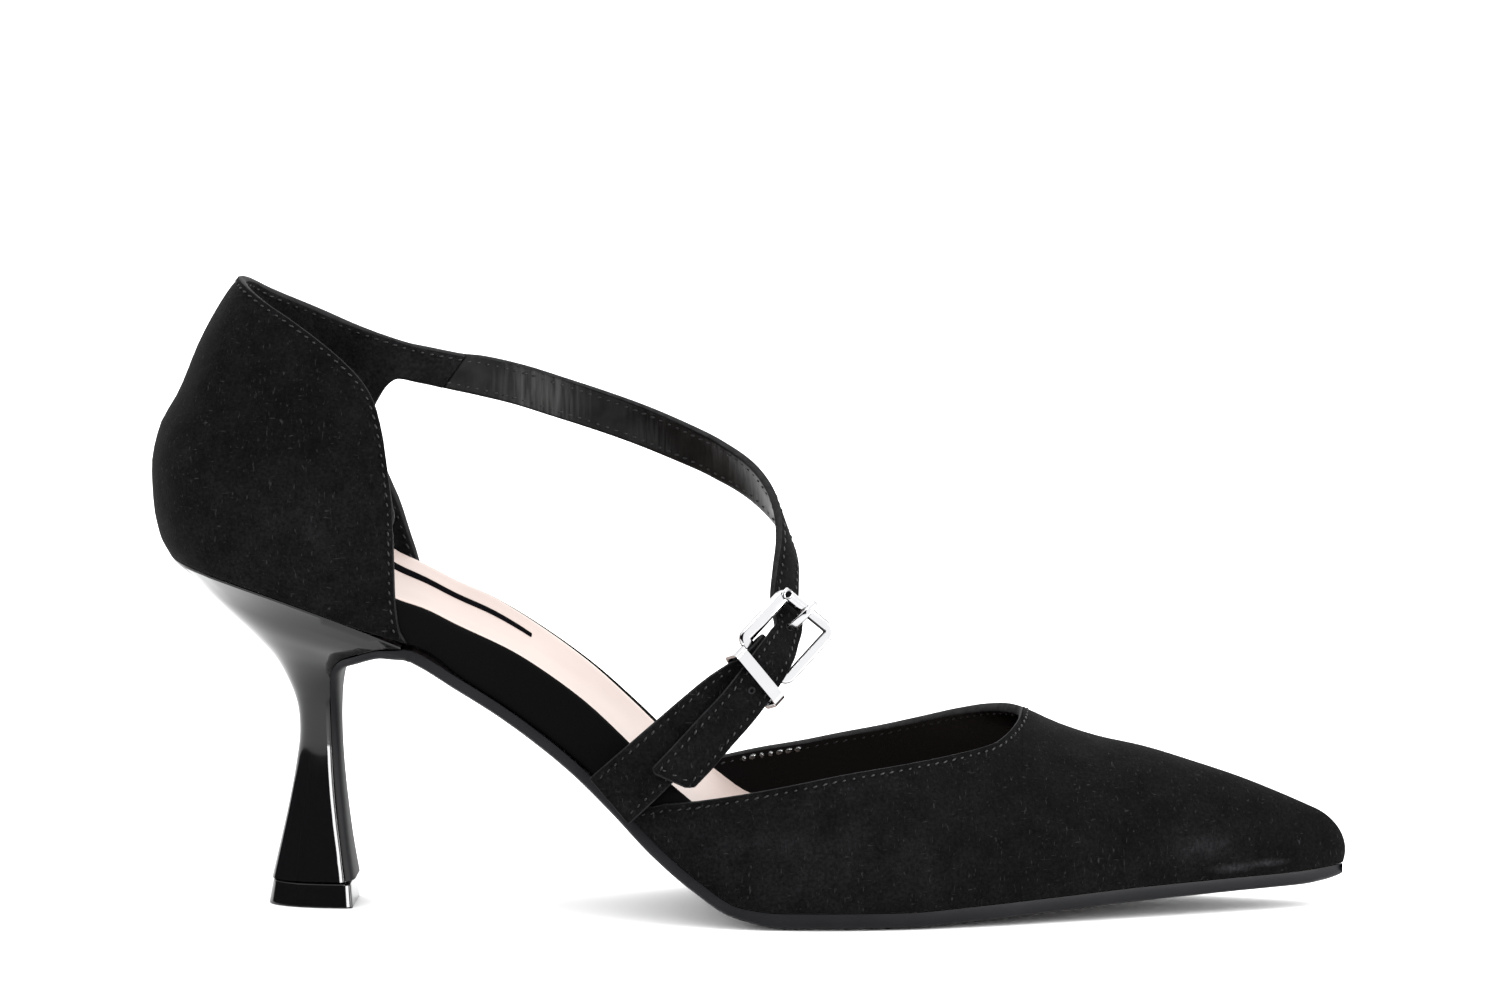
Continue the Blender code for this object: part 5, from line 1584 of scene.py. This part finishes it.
def tread_rings():
    """Cross-sections of the sole from the toe to the waist."""
    rings = []
    for index in range(HALF, 0, -1):
        lateral, medial = COLUMNS[index], COLUMNS[-index % TOTAL]
        if min(lateral.x, medial.x) < MEDIAL_FRONT_X + 0.5:
            break
        x = (lateral.x + medial.x) / 2 - (TOE_SETBACK if index == HALF else 0.0)
        slope = (seat_z(x + 0.5) - seat_z(x - 0.5)) if x < TREAD_X[0] else 0.0
        down = np.array([slope, 0.0, -1.0]) / math.hypot(slope, 1.0)
        ends = (lateral.y + SOLE_INSET, medial.y - SOLE_INSET)
        if index == HALF:
            ends = (lateral.y - TOE_HALF, medial.y + TOE_HALF)
        left, right = (np.array([x, y, seat_z(x) - GAP]) for y in ends)
        rings.append(sole_ring(left, right, down, sole_depth(x) * (TOE_THIN if index == HALF else 1.0)))
    return rings


def flap_rings():
    """Cross-sections of the sole's flap, down the heel's front face."""
    rings = []
    path = open_spline(FLAP_PATH, FLAP_STEPS)
    for i, (x, z, wide) in enumerate(path):
        way = path[min(i + 1, len(path) - 1)] - path[max(i - 1, 0)]
        down = np.array([-way[1], 0.0, way[0]]) / math.hypot(way[0], way[1])
        left, right = np.array([x, -wide, z]), np.array([x, wide - FLAP_TRIM * ease(x, *FLAP_TRIM_X), z])
        share = ease(i, 0, 4 * FLAP_STEPS)
        rings.append(sole_ring(left, right, down, SOLE_WAIST + (FLAP - SOLE_WAIST) * share, share))
    return rings


def make_outsole():
    treads, flaps = tread_rings(), flap_rings()
    vertices, faces = loft(treads + flaps)
    first = 1 + len(treads[0]) * len(treads)
    tags = ["sole"] * first + ["flap"] * (len(faces) - first)
    looks = {"sole": LOOKS["sole"], "flap": LOOKS["flap"]}
    piece("outsole", vertices, faces, looks, ["outsole"], "sole", tags, sharp=40)


def heel_section(row, corner=None):
    """A D-shaped ring: round at the back, flat at the front."""
    curve = []
    for angle in np.linspace(-math.pi / 2, math.pi / 2, SECTION_POINTS):
        share = max(math.cos(angle), 0.0) ** HEEL_ROUND
        x = row.front_x + (row.back_x - row.front_x) * share
        z = row.front_z + (row.back_z - row.front_z) * share
        curve.append((x, row.half * squared(math.sin(angle), HEEL_SQUARE), z))
    return heel_ring(curve, corner)


def corner_arc(before, corner, after):
    """A rounded corner between two points, without its ends."""
    return [bend(before, corner, after, step / HEEL_EDGE_STEPS) for step in range(1, HEEL_EDGE_STEPS)]


def corner_flat(before, corner, after):
    """A flat cut that leads into a rounded corner, without its ends."""
    along, across = HEEL_CUT
    edge = before + (corner - before) * along + (after - corner) * across
    turn = corner * 0.5 + (edge + after) * 0.25
    found = [before + (edge - before) * t for t in CUT_STEPS]
    return found + [bend(edge, turn, after, t) for t in TURN_STEPS]


def heel_ring(curve, corner=None):
    """A closed ring from a curve round the back, with a flat front and cut or rounded corners."""
    along, across = corner or (HEEL_EDGE, HEEL_EDGE)
    turn = corner_flat if corner else corner_arc
    dense = even_points(curve, HEEL_DENSE)
    step = np.linalg.norm(dense[1] - dense[0])
    cut = max(int(along / step), 1)
    around = even_points(dense[cut:-cut], HEEL_AROUND)
    first, last = dense[0], dense[-1]
    way = unit(first - last)
    lead, trail = first - way * across, last + way * across
    front = [trail + (lead - trail) * i / HEEL_ACROSS for i in range(HEEL_ACROSS + 1)]
    return [*around, *turn(around[-1], last, trail), *front, *turn(around[0], first, lead)[::-1]]


def seat_ring():
    """The heel's top ring, just under the upper's lower edge."""
    points = outline_points()
    order = [points[i % TOTAL] for i in range(HALF, -HALF, -1)]
    rim = [(p[0], p[1] * (1 - SOLE_INSET / HEEL_SEAT_HALF)) for p in order if p[0] < HEEL_SEAT_FRONT_X]
    rim = [(HEEL_SEAT_FRONT_X, rim[0][1])] + rim + [(HEEL_SEAT_FRONT_X, rim[-1][1])]
    return heel_ring([(x + SOLE_INSET * (x < HEEL_SEAT_ROUND_X), y, seat_z(x) - GAP) for x, y in rim])


def make_heel():
    rings = []
    for values in open_spline(HEEL, HEEL_STEPS):
        row = HeelRow(*values)
        rings.append(heel_section(row, HEEL_CORNER if row.front_z < HEEL_CORNER_Z else None))
    top = seat_ring()
    middle = [np.array(low) * 0.5 + np.array(high) * 0.5 for low, high in zip(rings[-1], top)]
    lower = [np.array(point) - np.array([0.0, 0.0, HEEL_LIP]) for point in top]
    piece("heel", *loft(rings + [middle, lower, top]), LOOKS["gloss"], ["heel"], "gloss", sharp=50)


def make_heel_tip():
    rings = []
    for z, inset in TIP_PROFILE:
        taper = TIP_TAPER * z / TIP_HEIGHT
        back, front, half = TIP_BACK + taper, TIP_FRONT - taper / 2, TIP_HALF - taper
        rings.append(heel_section(HeelRow(back + inset, z, front - inset, z, half - inset), TIP_CORNER))
    piece("heel_tip", *loft(rings), LOOKS["gloss"], ["heel_tip"], "gloss", sharp=50)


# Metal pieces

def swept(centres, sides, radius, closed, flat=1.0, power=1.0):
    """A bar along a run of centres, with one radius or a list, flattened towards the side at each centre.

    A power below one makes the bar's section squarer.
    """
    rings = []
    count = len(centres)
    for i, centre in enumerate(centres):
        before = centres[i - 1] if closed or i else centres[0]
        after = centres[(i + 1) % count] if closed or i < count - 1 else centres[-1]
        way = unit(after - before)
        side = unit(sides[i] - way * np.dot(sides[i], way))
        other = np.cross(way, side)
        size = radius[i] if isinstance(radius, list) else radius
        ring = []
        for cosine, sine in circle(BAR_SIDES):
            deep, wide = squared(cosine, power) * flat, squared(sine, power)
            ring.append(centre + (side * deep + other * wide) * size)
        rings.append(ring)
    return closed_loft(rings) if closed else loft(rings)


def rounded_loop(long, wide, radius):
    """The corners and sides of a rounded rectangle, as (along, across) pairs."""
    points = []
    for corner, (cx, cy) in enumerate(((1, 1), (0, 1), (0, 0), (1, 0))):
        for step in range(CORNER_STEPS + 1):
            angle = math.pi / 2 * (corner + step / CORNER_STEPS)
            x = (long - radius if cx else radius) + radius * math.cos(angle)
            y = (wide - radius if cy else radius) + radius * math.sin(angle)
            points.append((x, y))
    return points


def bar_tags(count):
    """Tags for the frame's faces: painted dark reflections and shade along its inner edge and outside the far
    bar, a painted grey reflection on the other outer sides apart from the corner nearest the heel."""
    spans = 4 * (CORNER_STEPS + 1)
    tags = []
    for number in range(count):
        span, side = divmod(number, BAR_SIDES)
        near_corner = span // (CORNER_STEPS + 1) == 2
        if side in BAR_INNER or (side in BAR_OUTER and span >= spans - 2):
            tags.append("dark")
        else:
            tags.append("side" if side in BAR_OUTER and not near_corner else "face")
    return tags


def make_buckle():
    """The frame, with a broader bar on the side away from the toe."""
    inset = BUCKLE_BAR
    loop = rounded_loop(BUCKLE_LONG - 2 * inset, BUCKLE_WIDE - 2 * inset, BUCKLE_CORNER_R)
    broad = [max(0.0, 1 - c / BUCKLE_CORNER_R) for _, c in loop]
    centres = [on_frame(a + inset, c + inset - BAR_SHIFT * share, 0.0) for (a, c), share in zip(loop, broad)]
    radii = [BAR_WIDE + (BAR_BROAD - BAR_WIDE) * share for share in broad]
    vertices, faces = swept(centres, [OUT] * len(centres), radii, True, BUCKLE_FLAT / BAR_WIDE, BAR_SQUARE)
    # Faces tagged side and dark take the painted grey and dark reflections
    looks = {"face": LOOKS["metal"], "side": LOOKS["metal_painted_grey"], "dark": LOOKS["metal_painted_dark"]}
    piece("buckle_frame", vertices, faces, looks, ["buckle_frame"], "metal", bar_tags(len(faces)))


def make_roller():
    rings = []
    for across, radius in ROLLER:
        centre = on_frame(BUCKLE_LONG - BUCKLE_BAR, across, 0.0)
        rings.append([centre + (ALONG * cosine + OUT * sine) * radius for cosine, sine in circle(BAR_SIDES)])
    piece("buckle_roller", *loft(rings), LOOKS["metal"], None, "metal", sharp=40)
    # The roller's hole is a dark oval of painted shade on its end, ringed in the grey silver
    place = on_frame(*ROLLER_HOLE)
    size, ring = ROLLER_HOLE_SIZE, ROLLER_HOLE_RING
    add_ring("roller_hole", place, ALONG, ACROSS, OUT, size, ring, LOOKS["metal_painted_grey"])


def make_prong():
    """The prong: hooked round the buckle's near bar, out through the strap's hole and over the far bar."""
    ring = BUCKLE_BAR + GAP + PRONG_R
    path = []
    for degrees in PRONG_HOOK:
        angle = math.radians(degrees)
        path.append((BUCKLE_BAR + ring * math.cos(angle), ring * math.sin(angle)))
    path = open_spline(path + PRONG, PRONG_STEPS)
    count = len(path)
    centres = [on_buckle(along, PRONG_ACROSS, out) for along, out in path]
    tapers = [PRONG_TAPER * ease(i, count - PRONG_TAPER_STEPS, count) for i in range(count)]
    radii = [PRONG_THICK * (1 - taper) for taper in tapers]
    bar = swept(centres, [ACROSS] * count, radii, False, PRONG_FLAT, PRONG_SQUARE)
    piece("buckle_prong", *bar, LOOKS["metal"], ["buckle_prong"], "metal")


def make_keeper():
    """A flat metal band round the buckle strap and the loose end, with rounded corners."""
    (left, right), (under, over) = KEEPER_ACROSS, KEEPER_OUT
    half, wall = KEEPER_WIDE / 2, KEEPER_WALL
    flat, deep = KEEPER_BEVEL
    section = [(-half, deep), (-half + flat, 0.0), (half - flat, 0.0), (half, deep)]
    section += [(half, wall), (-half, wall)]
    wide, tall = right - left, over - under
    rings = []
    loop = rounded_loop(wide, tall, KEEPER_CORNER_R)
    grown = rounded_loop(wide + 2, tall + 2, KEEPER_CORNER_R + 1)
    for (c, o), (cg, og) in zip(loop, grown):
        outward = unit(np.array([cg - 1 - c, og - 1 - o]))
        ring = []
        for along, depth in section:
            across = left + c + outward[0] * depth
            skewed = KEEPER_ALONG + along + KEEPER_SKEW * (across - left)
            ring.append(on_buckle(skewed, across, under + o + outward[1] * depth))
        rings.append(ring)
    piece("strap_keeper", *closed_loft(rings), LOOKS["metal"], ["strap_keeper"], "metal", sharp=50)


# Studio: floor, lights, world and camera

def add_sheet(name, vertices, faces, look):
    mesh = bpy.data.meshes.new(name)
    mesh.from_pydata(vertices, [], faces)
    mesh.materials.append(look)
    return add_object(name, mesh)


def make_floor():
    size = FLOOR_SIZE
    corners = [(-size, -size, 0), (size, -size, 0), (size, size, 0), (-size, size, 0)]
    tones = ((6, 1), (0.0, grey(0.92)), (1.0, grey(0.94)))
    floor = add_sheet("floor", corners, [[0, 1, 2, 3]], surface("floor", grey(0.93), 0.6, 0.2, tones=tones))


def aim(item, place, way):
    item.location = place
    item.rotation_mode = "QUATERNION"
    item.rotation_quaternion = way.to_track_quat("-Z", "Y")


def add_area(name, place, target, size, power):
    light = bpy.data.lights.new(name, "AREA")
    light.shape = "RECTANGLE"
    light.size, light.size_y = size
    light.energy = power
    item = add_object(name, light)
    aim(item, place, Vector(target) - Vector(place))
    return item


def make_flag():
    """Dark boards behind and beside the photographer, seen only as the black in the gloss and the metal."""
    left, right, front, back, low, high = FLAG
    corners = [(x, y, z) for x, y in ((right, front), (left, front), (left, back)) for z in (low, high)]
    flag = add_sheet("flag", corners, [[0, 1, 3, 2], [2, 3, 5, 4]], surface("flag", grey(0.004), 1.0, 0.0))
    flag.visible_camera = False
    flag.visible_shadow = False
    flag.visible_diffuse = False


def make_studio():
    make_floor()
    make_flag()
    world = bpy.data.worlds.new("studio")
    world.use_nodes = True
    background = world.node_tree.nodes["Background"]
    background.inputs["Color"].default_value = (1, 1, 1, 1)
    background.inputs["Strength"].default_value = WORLD_LIGHT
    bpy.context.scene.world = world
    bpy.context.scene.view_settings.view_transform = "Standard"
    for light in LIGHTS:
        add_area(*light)
    for light in GLINTS:
        add_area(*light).visible_diffuse = False


def make_camera():
    turn, lift = math.radians(CAMERA_AZIMUTH), math.radians(CAMERA_ELEVATION)
    back = Vector((math.sin(turn) * math.cos(lift), -math.cos(turn) * math.cos(lift), math.sin(lift)))
    camera = bpy.data.cameras.new("camera")
    camera.lens = CAMERA_LENS
    camera.sensor_width = CAMERA_SENSOR
    item = add_object("camera", camera)
    aim(item, Vector(CAMERA_TARGET) + back * CAMERA_DISTANCE, -back)
    bpy.context.scene.camera = item


def main():
    points, groups = upper_groups()
    make_vamp(points, groups["vamp"])
    make_counter(points, groups["counter"])
    make_rands(points, groups["rand"])
    make_strap()
    make_chape()
    rings = make_insole()
    make_label(rings)
    make_outsole()
    make_heel()
    make_heel_tip()
    make_buckle()
    make_roller()
    make_prong()
    make_keeper()
    piece("stitches", STITCHES["vertices"], STITCHES["faces"], LOOKS["thread"], None, "suede")
    piece("lining_puckers", PUCKERS["vertices"], PUCKERS["faces"], LOOKS["pucker"], None, "suede")
    make_studio()
    make_camera()


main()
